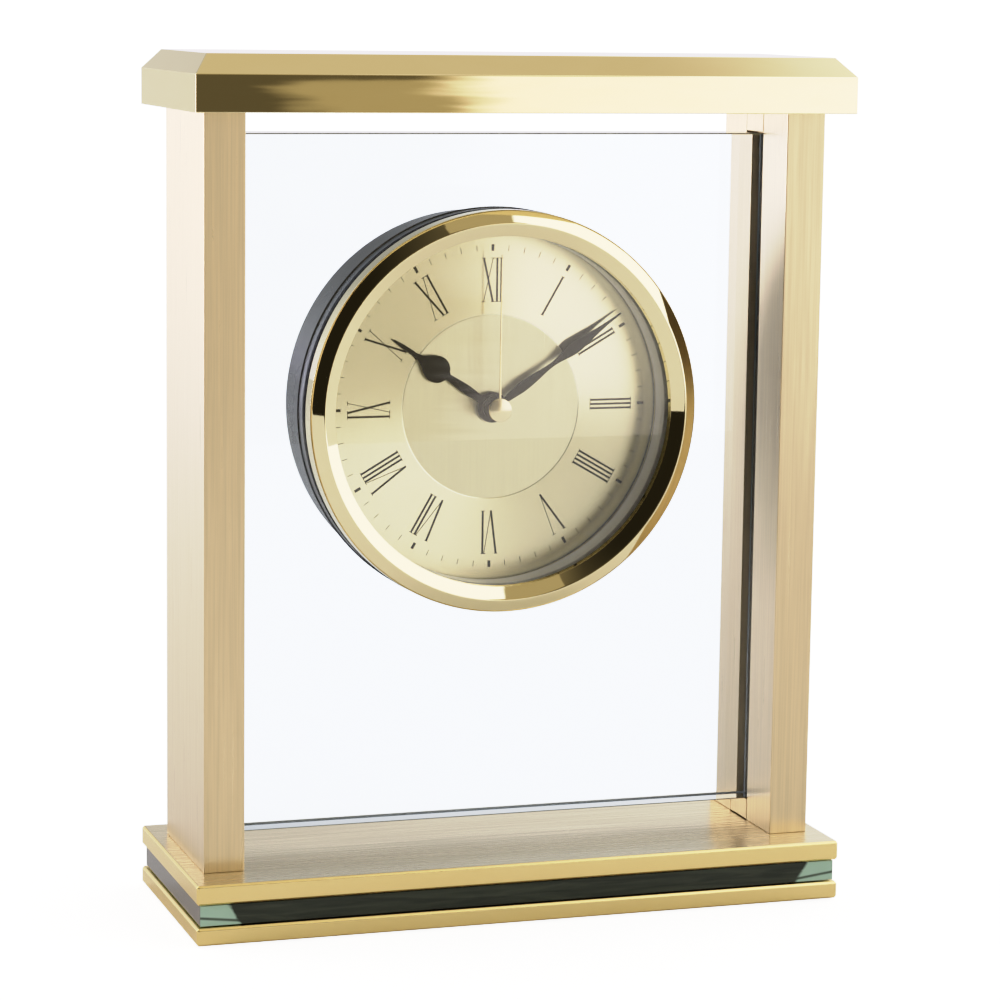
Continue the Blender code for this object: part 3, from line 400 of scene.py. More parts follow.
def fillet(outline, radius, closed=True):
    """Round the corners of a 2-D outline. A corner may carry its own radius as a third number."""
    points = []
    count = len(outline)
    for index, corner in enumerate(outline):
        here = Vector(corner[:2])
        own = corner[2] if len(corner) > 2 else radius
        end = not closed and index in (0, count - 1)
        if end or own == 0:
            points.append(here)
            continue
        before = Vector(outline[index - 1][:2]) - here
        after = Vector(outline[(index + 1) % count][:2]) - here
        half = before.angle(after) / 2
        reach = min(own / math.tan(half), 0.49 * before.length, 0.49 * after.length)
        start, stop = here + before.normalized() * reach, here + after.normalized() * reach
        for step in range(FILLET_STEPS + 1):
            t = step / FILLET_STEPS
            points.append(start * (1 - t) ** 2 + here * 2 * t * (1 - t) + stop * t ** 2)
    return points


def turned(profile, sides=ROUND, radius=0.1 * MM, centre=AXIS):
    """Spin (radius, y) points about the dial's axis. A profile that starts on the axis ends there too."""
    solid = profile[0][0] == 0
    outline = fillet(profile, radius, closed=not solid)
    bm = bmesh.new()
    rings = []
    for r, y in outline:
        if r < 1e-9:
            rings.append([bm.verts.new((centre.x, y, centre.z))])
            continue
        points = (at_clock(r, 2 * math.pi * k / sides) for k in range(sides))
        rings.append([bm.verts.new((centre.x + p.x, y, centre.z + p.z)) for p in points])
    pairs = list(zip(rings, rings[1:]))
    if not solid:
        pairs.append((rings[-1], rings[0]))
    for first, second in pairs:
        for k in range(sides):
            n = (k + 1) % sides
            corners = [first[k % len(first)], first[n % len(first)],
                       second[n % len(second)], second[k % len(second)]]
            bm.faces.new(list(dict.fromkeys(corners)))
    return bm


def offset(loop, distance):
    """Move a closed (x, z) outline inwards, for one that runs clockwise as seen from the front."""
    moved = []
    for index, here in enumerate(loop):
        before, after = loop[index - 1], loop[(index + 1) % len(loop)]
        first, second = (here - before).normalized(), (after - here).normalized()
        inward = Vector((first.y + second.y, -first.x - second.x)).normalized()
        stretch = max(0.5, inward.dot(Vector((first.y, -first.x))))
        moved.append(here + inward * distance / stretch)
    return moved


def clockwise(loop):
    area = sum(a.x * b.y - b.x * a.y for a, b in zip(loop, loop[1:] + loop[:1]))
    return loop if area < 0 else loop[::-1]


def pierced(outer, holes, y0, y1, edge, centre=AXIS, steps=3, split=()):
    """A plate from y0 to y1 with rounded edges, of an (x, z) outline and holes about a centre.

    Its walls are split into bands at the places in split.
    """
    bm = bmesh.new()
    caps = ([], [])
    for loop, sign in [(outer, 1)] + [(hole, -1) for hole in holes]:
        loop = clockwise([Vector(p) for p in loop])
        levels = []
        for step in range(steps + 1):
            turn = math.pi / 2 * step / steps
            levels.append((y0 + edge * (1 - math.sin(turn)), edge * (1 - math.cos(turn))))
        levels = levels[::-1] + [(y, 0.0) for y in split] + [(y0 + y1 - y, inset) for y, inset in levels]
        rings = []
        for y, inset in levels:
            flat = offset(loop, sign * inset)
            rings.append([bm.verts.new((centre.x + p.x, y, centre.z + p.y)) for p in flat])
        for first, second in zip(rings, rings[1:]):
            for k in range(len(loop)):
                n = (k + 1) % len(loop)
                bm.faces.new([first[k], first[n], second[n], second[k]])
        for cap, ring in zip(caps, (rings[0], rings[-1])):
            cap.append(ring)
    for cap in caps:
        edges = [bm.edges.get((ring[k - 1], ring[k])) for ring in cap for k in range(len(ring))]
        bmesh.ops.triangle_fill(bm, edges=edges, use_beauty=True)
    return bm


def circle(radius, sides=ROUND, centre=(0, 0)):
    return [Vector((at_clock(radius, -2 * math.pi * k / sides).x + centre[0],
                    at_clock(radius, 2 * math.pi * k / sides).z + centre[1])) for k in range(sides)]


def rectangle(x0, z0, x1, z1, radius=0.0):
    corners = [(x0, z0), (x0, z1), (x1, z1), (x1, z0)]
    return fillet(corners, radius) if radius else [Vector(c) for c in corners]


def smooth_curve(points, steps=8):
    """A Catmull-Rom curve through (x, z) points, ends included."""
    points = [Vector(p) for p in points]
    padded = [points[0]] + points + [points[-1]]
    curve = []
    for a, b, c, d in zip(padded, padded[1:], padded[2:], padded[3:]):
        for step in range(steps):
            t = step / steps
            curve.append(0.5 * (2 * b + (c - a) * t + (2 * a - 5 * b + 4 * c - d) * t ** 2
                                + (3 * b - a - 3 * c + d) * t ** 3))
    return curve + [points[-1]]


def soften(node, width, segments=3):
    """Round the edges of a CAD node that is shown as it is."""
    obj = NODES[node]
    weld = obj.modifiers.new("Join", "WELD")
    weld.merge_threshold = MERGE
    bevel = obj.modifiers.new("Edges", "BEVEL")
    bevel.width = width
    bevel.segments = segments
    bevel.limit_method = "ANGLE"
    bevel.angle_limit = math.radians(28)
    obj.data.shade_smooth()
    add_weighted_normals(obj)


def dress(node, *materials):
    """Give a CAD node its finish, by its own material slots."""
    mesh = NODES[node].data
    mesh.materials.clear()
    for material in materials:
        mesh.materials.append(material)


# --- Insert ------------------------------------------------------------------------------

RIM_TILT, LIP_TILT = math.radians(28), math.radians(33)


def build_bezel(finishes):
    """Side wall, rounded rim, outer cone up to a rounded crest, inner cone down to the lens."""
    low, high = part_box("bezel")
    rim_r = (high.x - low.x) / 2
    crest_r, lip_r = rim_r - CREST_INSET, rim_r - LIP_INSET
    front, back = low.y, high.y
    flange_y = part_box("glass_panel")[0].y - FIT
    spigot_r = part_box("drum_housing")[1].x - 1.3 * MM
    lens_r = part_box("lens")[1].x + FIT
    seat_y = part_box("lens")[0].y - FIT
    crest_y = front - 0.1 * MM
    rim_y = crest_y + (rim_r - crest_r) * math.tan(RIM_TILT)
    lip_y = crest_y + (crest_r - lip_r) * math.tan(LIP_TILT)
    profile = [(rim_r, flange_y, 0.15 * MM), (rim_r, rim_y, 0.9 * MM), (crest_r, crest_y, 0.6 * MM),
               (lip_r, lip_y, 0.12 * MM), (lip_r, seat_y, 0.05 * MM), (lens_r, seat_y, 0),
               (lens_r, back, 0), (spigot_r, back, 0.2 * MM), (spigot_r, flange_y, 0)]
    piece("bezel_ring", turned(profile), [finishes["bezel_gold"]], replaces=["bezel"])


def turned_copy(node, name, finish, bore=None, edge=0.15 * MM, body="case"):
    """A turned ring or disc of a CAD node's own size, with fine edges."""
    low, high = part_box(node)
    radius = (high.x - low.x) / 2
    profile = [(0, low.y), (radius, low.y), (radius, high.y), (0, high.y)]
    if bore:
        profile = [(radius, low.y), (radius, high.y), (bore, high.y), (bore, low.y)]
    return piece(name, turned(profile, radius=edge), [finish], body, [node])


def build_insert(finishes):
    build_bezel(finishes)
    lip_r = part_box("bezel")[1].x - LIP_INSET
    drum_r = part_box("drum_housing")[1].x
    bore_r = drum_r - DRUM_WALL
    turned_copy("lens", "lens_disc", finishes["lens_glass"])
    turned_copy("lens_seal", "lens_gasket", finishes["rubber"], lip_r + 0.9 * MM, 0.1 * MM)
    turned_copy("rubber_sleeve", "hole_sleeve", finishes["rubber"], drum_r + FIT, 0.1 * MM)
    turned_copy("dial_support_ring", "support_ring", finishes["black_plastic"],
                bore_r - 3.1 * MM, 0.3 * MM)
    build_inner_wall(finishes, lip_r)
    low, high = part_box("drum_housing")
    drum = [(drum_r, low.y, 0.1 * MM), (drum_r, high.y, 0.6 * MM), (bore_r, high.y, 0.2 * MM),
            (bore_r, low.y, 0.1 * MM)]
    piece("drum_shell", turned(drum), [finishes["drum_plastic"]],
          replaces=["drum_housing"])


def build_inner_wall(finishes, inner_r):
    """The silvery wall round the dial, standing on a recessed foot painted black as painted shade where the
    wall meets the dial.
    """
    low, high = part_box("dial_ring")
    outer_r = (high.x - low.x) / 2
    foot_y, foot_r = high.y - 1.0 * MM, inner_r + 0.35 * MM
    profile = [(outer_r, low.y, 0.2 * MM), (outer_r, high.y, 0.1 * MM), (foot_r, high.y, 0),
               (foot_r, foot_y, 0), (inner_r, foot_y, 0.1 * MM), (inner_r, low.y, 0.25 * MM)]
    bm = turned(profile)
    for face in bm.faces:
        middle = face.calc_center_median() - AXIS
        radius = math.hypot(middle.x, middle.z)
        # painted shade: the recessed foot gets black rubber for the dark line at the dial's edge
        face.material_index = 1 if middle.y + AXIS.y > foot_y + 0.1 * MM and radius < foot_r + MM / 4 else 0
    piece("inner_wall", bm, [finishes["inner_wall"], finishes["rubber"]],
          replaces=["dial_ring"])


def build_dial(finishes):
    """The dial: a spun chapter ring round a brushed centre, parted by a fine groove."""
    back = DIAL_HIGH.y
    hole_r, centre_r = 3.2 * MM, 21.8 * MM
    groove, groove_depth = 0.16 * MM, 0.05 * MM
    profile = [(hole_r, DIAL_Y, 0.1 * MM), (centre_r - groove, DIAL_Y, 0.03 * MM),
               (centre_r, DIAL_Y + groove_depth, 0.03 * MM), (centre_r + groove, DIAL_Y, 0.03 * MM),
               (DIAL_R, DIAL_Y, 0.1 * MM), (DIAL_R, back, 0.1 * MM), (hole_r, back, 0.1 * MM)]
    bm = turned(profile)
    for face in bm.faces:
        middle = face.calc_center_median() - AXIS
        face.material_index = 1 if math.hypot(middle.x, middle.z) < centre_r else 0
    piece("dial_face", bm, [finishes["chapter_ring"], finishes["dial_centre"]],
          replaces=["dial_plate"])


# --- Dial print: strokes in a numeral's own frame, u across and v outwards --------------------

NUMERALS = ("XII", "I", "II", "III", "IIII", "V", "VI", "VII", "VIII", "IX", "X", "XI")
FOOT_R, HEAD_R = 24.8 * MM, 35.2 * MM
THICK, THIN, SERIF = 0.48 * MM, 0.16 * MM, 0.14 * MM
LETTER_WIDTH = {"I": 0.0, "V": 3.0 * MM, "X": 2.3 * MM}
INK_HEIGHT = 0.045 * MM
INK_STEP = 0.006 * MM          # thick strokes stand this much prouder than thin ones


def letter_strokes(letter, u):
    """Strokes (u0, v0, u1, v1, width, rank) of a letter that starts at u."""
    width = LETTER_WIDTH[letter]
    top, foot = HEAD_R, FOOT_R
    reach = 0.48 * MM
    if letter == "I":
        yield u, foot, u, top, THICK, 2
        ends = ((u, top), (u, foot))
    elif letter == "V":
        apex = u + 0.45 * width
        yield u, top, apex, foot, THICK, 2
        yield u + width, top, apex, foot, THIN, 1
        ends = ((u, top), (u + width, top))
    else:
        yield u, top, u + width, foot, THICK, 2
        yield u + width, top, u, foot, THIN, 1
        ends = ((u, top), (u + width, top), (u, foot), (u + width, foot))
    for middle, v in ends:
        inwards = SERIF / 2 if v == foot else -SERIF / 2
        yield middle - reach, v + inwards, middle + reach, v + inwards, SERIF, 0


def letter_gap(first, second):
    """Space between two letters' nearest ends."""
    if "V" in (first, second):
        return 0.35 * MM
    return 1.02 * MM


def numeral_strokes(text):
    places, u = [], 0.0
    for index, letter in enumerate(text):
        if index:
            u += letter_gap(text[index - 1], letter)
        places.append((letter, u))
        u += LETTER_WIDTH[letter]
    for letter, start in places:
        yield from letter_strokes(letter, start - u / 2)


def add_stroke(bm, stroke, angle):
    """A raised bar of ink, turned to its clock angle."""
    u0, v0, u1, v1, width, rank = stroke
    start, stop = Vector((u0, v0)), Vector((u1, v1))
    side = (stop - start).orthogonal().normalized() * width / 2
    top = DIAL_Y - INK_HEIGHT - rank * INK_STEP
    corners = (start - side, start + side, stop + side, stop - side)
    turn = Matrix.Rotation(angle, 3, "Y")
    levels = []
    for y in (top, DIAL_Y - 0.002 * MM):
        points = (turn @ Vector((c.x, 0, c.y)) for c in corners)
        levels.append([bm.verts.new((AXIS.x + p.x, y, AXIS.z + p.z)) for p in points])
    front, back = levels
    bm.faces.new(front)
    bm.faces.new(back[::-1])
    for k in range(4):
        bm.faces.new([front[k - 1], back[k - 1], back[k], front[k]])


def build_print(finishes):
    bm = bmesh.new()
    for hour, text in enumerate(NUMERALS):
        for stroke in numeral_strokes(text):
            add_stroke(bm, stroke, math.radians(30 * hour))
    piece("numerals", bm, [finishes["ink"]], weighted=False)
    bm = bmesh.new()
    for minute in range(60):
        hour = minute % 5 == 0
        inner, outer = (36.8 * MM, 38.4 * MM) if hour else (36.9 * MM, 38.3 * MM)
        width = 0.68 * MM if hour else 0.13 * MM
        add_stroke(bm, (0, inner, 0, outer, width, 0), math.radians(6 * minute))
    piece("minute_track", bm, [finishes["ink"]], weighted=False)


# --- Hands ---------------------------------------------------------------------------------

HAND_ANGLES = {"hour_hand": math.radians(304.0), "minute_hand": math.radians(55.0)}


def mirrored(half):
    """Close an outline from its right half, given from the hub's foot to the tip."""
    return half + [Vector((-p.x, p.y)) for p in reversed(half) if p.x > 1e-9]


def hub_arc(radius, neck, steps=24):
    """The right half of a round hub, from its foot to where the arm leaves it."""
    start, end = math.pi, math.asin(neck / radius)
    points = [at_clock(radius, start + (end - start) * k / steps) for k in range(steps + 1)]
    return [Vector((max(p.x, 0.0), p.z)) for p in points]


def hand(name, node, half, hole_r, edge, finish, body):
    low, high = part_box(node)
    hole = circle(hole_r, SMALL_ROUND)
    bm = pierced(mirrored(half), [hole], low.y, high.y, edge)
    bmesh.ops.rotate(bm, cent=AXIS, matrix=Matrix.Rotation(HAND_ANGLES[node], 3, "Y"), verts=bm.verts)
    piece(name, bm, [finish], body, [node])


def build_hands(finishes):
    hub_r, neck = 3.65 * MM, 0.85 * MM
    bulb_r, bulb_z = 3.2 * MM, 16.6 * MM
    half = hub_arc(hub_r, neck)
    half += smooth_curve([(0.95 * MM, 5.0 * MM), (1.12 * MM, 8.0 * MM), (0.85 * MM, 12.0 * MM),
                          (0.80 * MM, 13.2 * MM)], 6)
    start, stop = math.radians(24), math.radians(112)
    bulb = [start + (stop - start) * k / 14 for k in range(15)]
    half += [Vector((bulb_r * math.sin(a), bulb_z - bulb_r * math.cos(a))) for a in bulb]
    half += smooth_curve([(2.55 * MM, 18.8 * MM), (1.25 * MM, 20.6 * MM), (0.52 * MM, 22.6 * MM),
                          (0.50 * MM, 24.8 * MM), (0.38 * MM, 27.2 * MM), (0.14 * MM, 29.3 * MM)], 6)
    hand("hour_hand_spade", "hour_hand", half, 2.4 * MM, 0.07 * MM, finishes["hand_enamel"], "hour")

    hub_r, neck = 2.6 * MM, 0.7 * MM
    half = hub_arc(hub_r, neck)
    half += smooth_curve([(0.74 * MM, 3.6 * MM), (0.98 * MM, 6.0 * MM), (1.18 * MM, 8.8 * MM),
                          (0.92 * MM, 12.6 * MM), (0.52 * MM, 16.4 * MM), (0.62 * MM, 19.0 * MM),
                          (1.28 * MM, 22.6 * MM), (1.45 * MM, 24.6 * MM), (1.08 * MM, 27.8 * MM),
                          (0.55 * MM, 31.8 * MM), (0.30 * MM, 35.0 * MM), (0.16 * MM, 38.2 * MM)], 6)
    hand("minute_hand_leaf", "minute_hand", half, 1.55 * MM, 0.07 * MM, finishes["hand_enamel"], "minute")
    build_seconds_hand(finishes)


def build_seconds_hand(finishes):
    """A tapered needle behind a round cap with a shallow turned cone, on a short tube."""
    low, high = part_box("seconds_hand")
    cap_r, tube_r, bore_r = 2.75 * MM, 1.0 * MM, 0.65 * MM
    front = low.y
    cap = [(0, front, 0), (1.0 * MM, front + 0.06 * MM, 0.05 * MM), (cap_r, front + 0.22 * MM, 0.12 * MM),
           (cap_r, front + 0.9 * MM, 0.1 * MM), (tube_r, front + 0.9 * MM, 0), (tube_r, high.y, 0.05 * MM),
           (bore_r, high.y, 0), (bore_r, front + 1.5 * MM, 0), (0, front + 1.5 * MM, 0)]
    piece("seconds_cap", turned(cap, SMALL_ROUND * 2), [finishes["spun_cap"]], "seconds",
          ["seconds_hand"])
    needle_y, tip = front + 0.72 * MM, high.z - AXIS.z
    outline = [Vector(p) for p in ((0.24 * MM, 1.2 * MM), (0.24 * MM, 4 * MM), (0.11 * MM, tip),
                                   (-0.11 * MM, tip), (-0.24 * MM, 4 * MM), (-0.24 * MM, 1.2 * MM))]
    bm = pierced(outline, [], needle_y, needle_y + 0.26 * MM, 0.03 * MM)
    piece("seconds_needle", bm, [finishes["needle_gold"]], "seconds")


# --- Case and back -----------------------------------------------------------------------------

def build_panel(finishes):
    """The clear panel: a hole for the insert, black at its front as painted shade behind the bezel and drum
    grey behind, and dark ends.
    """
    low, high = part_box("glass_panel")
    hole_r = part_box("rubber_sleeve")[1].x + FIT
    outer = rectangle(low.x, low.z - AXIS.z, high.x, high.z - AXIS.z)
    # painted shade: the front band of the hole's wall is black, for the dark line behind the bezel
    shade_band_to, arris = low.y + 4.6 * MM, 0.3 * MM
    face, end, chamfer, black, grey = range(5)
    flat, slanted = 0.9, 0.1           # how squarely a face looks along Y
    bm = pierced(outer, [circle(hole_r)], low.y, high.y, arris, steps=1, split=[shade_band_to])
    for facet in bm.faces:
        middle = facet.calc_center_median()
        in_hole = math.hypot(middle.x - AXIS.x, middle.z - AXIS.z) < hole_r + MM
        on_end = abs(middle.x) > high.x - MM
        if abs(facet.normal.y) > flat:
            facet.material_index = face
        elif in_hole:
            # painted shade: black rubber on the hole's front wall, drum plastic behind
            facet.material_index = black if middle.y < shade_band_to else grey
        elif abs(facet.normal.y) > slanted:
            facet.material_index = chamfer
        else:
            facet.material_index = end if on_end else face
    names = ("panel_glass", "glass_end", "glass_arris", "rubber", "drum_plastic")
    finish = [finishes[name] for name in names]
    piece("clear_panel", bm, finish, replaces=["glass_panel"])


PILLAR_GAP = 0.05 * MM


def build_pillar(side, finishes):
    """A brushed post with softened edges, grooved down its inner face for the glass."""
    node = "pillar_" + side
    low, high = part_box(node)
    panel_low, panel_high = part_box("glass_panel")
    inward = 1 if side == "left" else -1
    inner = high.x if side == "left" else low.x
    outer = low.x if side == "left" else high.x
    groove_low, groove_high = panel_low.y - FIT, panel_high.y + FIT
    depth = inner - inward * 2.4 * MM
    soft, groove_edge = 0.22 * MM, 0.08 * MM
    profile = [(outer, low.y, soft), (outer, high.y, soft), (inner, high.y, soft),
               (inner, groove_high, groove_edge), (depth, groove_high, 0), (depth, groove_low, 0),
               (inner, groove_low, groove_edge), (inner, low.y, soft)]
    outline = fillet([(x, -y, r) for x, y, r in profile], soft)
    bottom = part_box("base_top_plate")[1].z + PILLAR_GAP
    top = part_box("cap")[0].z - PILLAR_GAP
    bm = pierced(outline, [], bottom, top, 0.12 * MM, Vector())
    bmesh.ops.rotate(bm, matrix=Matrix.Rotation(math.pi / 2, 3, "X"), verts=bm.verts)
    piece("post_" + side, bm, [finishes["pillar_brass"]], replaces=[node])


def build_rear_cover(finishes):
    """The push-in cover: battery window, knob hole, and a raised rim to grip."""
    low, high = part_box("rear_cover")
    battery_low, battery_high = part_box("battery")
    knob_low, knob_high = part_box("setting_knob")
    cover_r = (high.x - low.x) / 2
    room = Vector((0.6 * MM, 0, 0.6 * MM))     # round the battery
    window_low = battery_low - room - AXIS
    window_high = battery_high + room - AXIS
    window = rectangle(window_low.x, window_low.z, window_high.x, window_high.z, 1.2 * MM)
    knob = (knob_low + knob_high) / 2 - AXIS
    knob_hole = circle(5.6 * MM, SMALL_ROUND, (knob.x, knob.z))
    face_front = high.y - 1.4 * MM
    bm = pierced(circle(cover_r), [window, knob_hole], face_front, high.y, 0.35 * MM)
    piece("cover_face", bm, [finishes["cover_plastic"]], "rear_cover", ["rear_cover"])
    skirt_r = cover_r - 1.3 * MM
    skirt = [(cover_r, low.y, 0.2 * MM), (cover_r, face_front, 0), (skirt_r, face_front, 0),
             (skirt_r, low.y, 0.2 * MM)]
    piece("cover_skirt", turned(skirt), [finishes["cover_plastic"]], "rear_cover")


def dress_case(finishes):
    for side in ("left", "right"):
        build_pillar(side, finishes)
    for node in NODES:
        if node.startswith("panel_rest"):
            dress(node, finishes["pillar_brass"])
        if node.startswith(("base_screw", "cap_stud")):
            dress(node, finishes["steel"])
    dress("cap", finishes["cap_gold"])
    dress("felt_pad", finishes["felt"])
    dress("base_bottom_plate", finishes["plate_edge"])
    dress("base_glass_slab", finishes["slab_glass"])
    dress("base_top_plate", finishes["plate_edge"], finishes["top_brass"])
    for face in NODES["base_top_plate"].data.polygons:
        face.material_index = 1 if face.normal.z > 0.9 else 0
    soften("cap", 0.40 * MM, 4)
    for node in ("base_bottom_plate", "base_top_plate", "base_glass_slab"):
        soften(node, 0.10 * MM)


def dress_movement(finishes):
    kinds = {
        "black_plastic": ("movement_case", "setting_knob"),
        "white_plastic": ("movement_back", "motion_wheel", "fifth_wheel", "hour_wheel", "third_wheel"),
        "gear_brass": ("minute_arbor", "centre_wheel", "battery_contact_positive"),
        "steel": ("clutch_washer", "seconds_arbor", "stator", "quartz_crystal", "battery_contact_negative",
                  "rotor"),
        "copper": ("coil",),
        "board": ("circuit_board",),
        "battery": ("battery",),
    }
    for finish, nodes in kinds.items():
        for node in nodes:
            dress(node, finishes[finish])
            soften(node, 0.06 * MM, 2)


# --- Stage, light and camera -----------------------------------------------------------------------

WHITE_POINT = 2.0              # scene brightness that prints as white
BRIGHT, CEILING, HALF, UNLIT = 2.0, 0.66, 0.45, 0.12
DIM_TINT, WARM_TINT = (1.0, 0.87, 0.58), (0.92, 0.80, 0.66)
BACK_TINT, WHITE = (1.0, 0.94, 1.04), (1, 1, 1)

# edges of the studio's zones, in degrees
LEFT_LIMIT = -88.0             # the unlit corner reaches from here
UNLIT_EDGE, HALF_EDGE = 14.8, 17.6
UNLIT_TOP, CEILING_FROM = 54.0, 64.0
BEHIND_FROM = 140.0
BACKDROP_LOW, BACKDROP_HIGH = 9.0, 22.0        # its brightness falls between these


def seen_directly(nodes, world=False):
    """1 where the camera sees a surface itself or through glass, 0 where other surfaces reflect it.

    A ray that reaches the world counts as one bounce deeper than it is.
    """
    depth = nodes.add("LightPath", output="Ray Depth")
    through_glass = nodes.add("LightPath", output="Transmission Depth")
    bounces = nodes.math("SUBTRACT", depth, through_glass)
    if not world:
        return nodes.math("LESS_THAN", bounces, 0.5)
    refracted = nodes.times(nodes.add("LightPath", output="Is Transmission Ray"),
                            nodes.math("LESS_THAN", bounces, 1.5))
    return nodes.math("MAXIMUM", nodes.add("LightPath", output="Is Camera Ray"), refracted)


def build_floor():
    """A pale table top; it ends a short way in front, where the unlit room begins."""
    front, back, side = -0.8, 9.0, 5.0
    drop = 0.05 * MM                   # below the felt
    lit, seen_colour, seen_glow = (0.85, 0.85, 0.85), (0.42, 0.42, 0.42), 1.65
    bm = bmesh.new()
    corners = ((-side, front), (side, front), (side, back), (-side, back))
    bm.faces.new([bm.verts.new((x, y, -drop)) for x, y in corners])
    mesh = bpy.data.meshes.new("floor")
    bm.to_mesh(mesh)
    bm.free()
    floor = bpy.data.objects.new("floor", mesh)
    bpy.context.scene.collection.objects.link(floor)
    finish = Finish("floor", lit, 0.6, 0.0, Specular_IOR_Level=0.1)
    direct = seen_directly(finish)
    finish.set(Base_Color=finish.mix(direct, lit, seen_colour))
    finish.set(Emission_Color=(1.0, 1.0, 1.0, 1.0))
    finish.set(Emission_Strength=finish.times(direct, seen_glow))
    mesh.materials.append(finish.material)
    floor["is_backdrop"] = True


def area_light(name, place, target, size, power, colour):
    lamp = bpy.data.lights.new(name, "AREA")
    lamp.shape = "RECTANGLE"
    lamp.size, lamp.size_y = size
    lamp.energy = power
    lamp.color = colour
    obj = bpy.data.objects.new(name, lamp)
    obj.location = place
    obj.rotation_euler = (Vector(target) - Vector(place)).to_track_quat("-Z", "Y").to_euler()
    bpy.context.scene.collection.objects.link(obj)


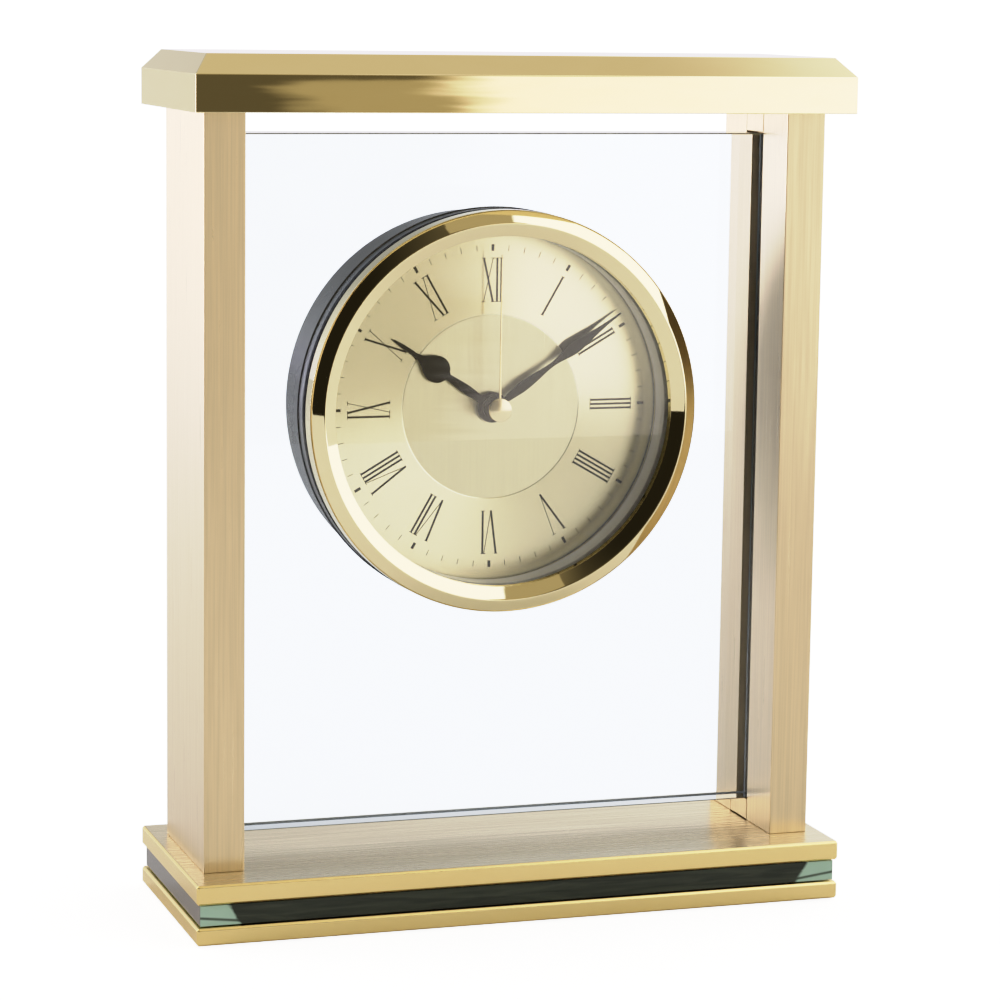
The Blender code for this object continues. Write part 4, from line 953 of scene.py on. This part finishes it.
def build_world():
    """A bright studio with an unlit corner at the front left: what the polished gold reflects.

    Directions are in degrees: azimuth 0 is the clock's front, positive to its right.
    """
    world = bpy.data.worlds.new("studio")
    bpy.context.scene.world = world
    world.use_nodes = True
    nodes = Nodes(world.node_tree)
    way = nodes.add("TexCoord", output="Generated")
    x, y, z = (nodes.axis(way, name) for name in "XYZ")
    turn = nodes.math("DEGREES", nodes.math("ARCTAN2", x, nodes.times(y, -1.0)))
    rise = nodes.math("DEGREES", nodes.math("ARCSINE", z))
    up = nodes.math("MAXIMUM", rise, 0.0)

    def ripple(turn_cells, rise_cells, size):    # breaks up the straight edges
        spot = nodes.add("CombineXYZ", nodes.times(turn, turn_cells), nodes.times(rise, rise_cells))
        return nodes.times(nodes.math("SUBTRACT", nodes.add("TexNoise", spot, None, 1.0, 3.0), 0.5), size)

    def step(value, at, soft):
        return nodes.remap(value, at - soft, at + soft, smooth=True)

    turn_edge = nodes.sum(turn, ripple(0.5, 9.0, 1.6), ripple(0.25, 1.1, 3.0))
    left_limit = step(turn, LEFT_LIMIT, 4.0)
    half_edge = nodes.sum(turn_edge, nodes.times(up, -0.25))
    half_lit = nodes.math("SUBTRACT", 1.0, step(half_edge, HALF_EDGE, 0.7))
    wedge = nodes.remap(rise, -1.47, -1.27, 0.0, -2.2, smooth=True)
    above_twenty = nodes.math("MAXIMUM", nodes.sum(rise, -20.0), 0.0)
    dark_edge = nodes.sum(turn_edge, nodes.times(above_twenty, 0.5),
                          nodes.times(wedge, nodes.math("LESS_THAN", rise, 6.0)))
    low_enough = nodes.math("SUBTRACT", 1.0, step(rise, UNLIT_TOP, 7.0))
    unlit = nodes.times(nodes.math("SUBTRACT", 1.0, step(dark_edge, UNLIT_EDGE, 0.4)), low_enough)
    depth = nodes.remap(turn, -30.0, 12.0, 0.15 * UNLIT, UNLIT, smooth=True)

    room = nodes.remap(nodes.times(left_limit, half_lit), 0.0, 1.0, BRIGHT, HALF)
    room = nodes.add("Mix", nodes.times(left_limit, unlit), None, room, depth)
    behind = step(nodes.math("ABSOLUTE", turn), BEHIND_FROM, 12.0)
    backdrop = nodes.remap(rise, BACKDROP_LOW, BACKDROP_HIGH, 1.3, 0.65, smooth=True)
    shade = nodes.remap(nodes.math("ABSOLUTE", turn), 154.0, 172.0, -0.1, 0.42)
    backdrop = nodes.times(backdrop, nodes.math("SUBTRACT", 1.0, nodes.times(shade, step(rise, 6.0, 2.0))))
    room = nodes.add("Mix", behind, None, room, backdrop)
    room = nodes.add("Mix", step(rise, CEILING_FROM, 4.0), None, room, CEILING)
    direct = seen_directly(nodes, world=True)
    light = nodes.add("Mix", direct, None, room, 1.1 * WHITE_POINT)
    warm = nodes.times(nodes.remap(half_edge, 15.0, 28.0, 1.0, 0.0), nodes.math("LESS_THAN", up, 8.0))
    tint = nodes.mix(warm, WHITE, WARM_TINT)
    tint = nodes.mix(nodes.remap(room, HALF, 1.0), DIM_TINT, tint)
    low_behind = nodes.times(behind, nodes.math("SUBTRACT", 1.0, step(rise, 4.0, 3.0)))
    tint = nodes.mix(behind, tint, nodes.mix(low_behind, WHITE, BACK_TINT))
    tint = nodes.mix(direct, tint, WHITE)
    background = nodes.tree.nodes["Background"]
    nodes.feed(background.inputs["Strength"], light)
    nodes.feed(background.inputs["Color"], tint)


def set_exposure():
    """A photographic print curve: highlights roll off towards white, midtones keep their colour."""
    view = bpy.context.scene.view_settings
    view.view_transform = "Standard"
    view.use_curve_mapping = True
    mapping = view.curve_mapping
    mapping.white_level = (WHITE_POINT, WHITE_POINT, WHITE_POINT)
    curve = mapping.curves[3]
    for light, shown in ((0.05, 0.042), (0.25, 0.24), (0.5, 0.49), (0.76, 0.71), (1.0, 0.80), (1.44, 0.905),
                         (1.8, 0.965)):
        curve.points.new(light / WHITE_POINT, shown)
    mapping.update()


def build_camera():
    place, focal_length = (-0.24467, -0.74327, 0.21337), 120.51
    yaw, pitch, roll = (math.radians(a) for a in (18.337, 8.578, -0.781))
    forward = Vector((math.sin(yaw) * math.cos(pitch), math.cos(yaw) * math.cos(pitch), -math.sin(pitch)))
    level = Vector((math.cos(yaw), -math.sin(yaw), 0))
    down = forward.cross(level)
    right = level * math.cos(roll) + down * math.sin(roll)
    up = level * math.sin(roll) - down * math.cos(roll)
    data = bpy.data.cameras.new("camera")
    data.sensor_width = 36.0
    data.lens = focal_length
    camera = bpy.data.objects.new("camera", data)
    turned_to = Matrix((right, up, -forward)).transposed().to_4x4()
    camera.matrix_world = Matrix.Translation(place) @ turned_to
    bpy.context.scene.collection.objects.link(camera)
    bpy.context.scene.camera = camera


def main():
    finishes = make_finishes()
    dress_case(finishes)
    dress_movement(finishes)
    build_panel(finishes)
    build_insert(finishes)
    build_dial(finishes)
    build_print(finishes)
    build_hands(finishes)
    build_rear_cover(finishes)
    build_floor()
    build_world()
    rim_place, rim_target = (-1.0, 0.75, 0.12), (-0.07, 0, 0.12)
    rim_size, rim_colour = (0.7, 0.3), (1.0, 0.93, 1.03)
    area_light("rim", rim_place, rim_target, rim_size, 6.0, rim_colour)
    build_camera()
    set_exposure()


main()
boxes = {"cad": CAD_BOX, "visual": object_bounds()}
{name: [list(corner) for corner in box] for name, box in boxes.items()}
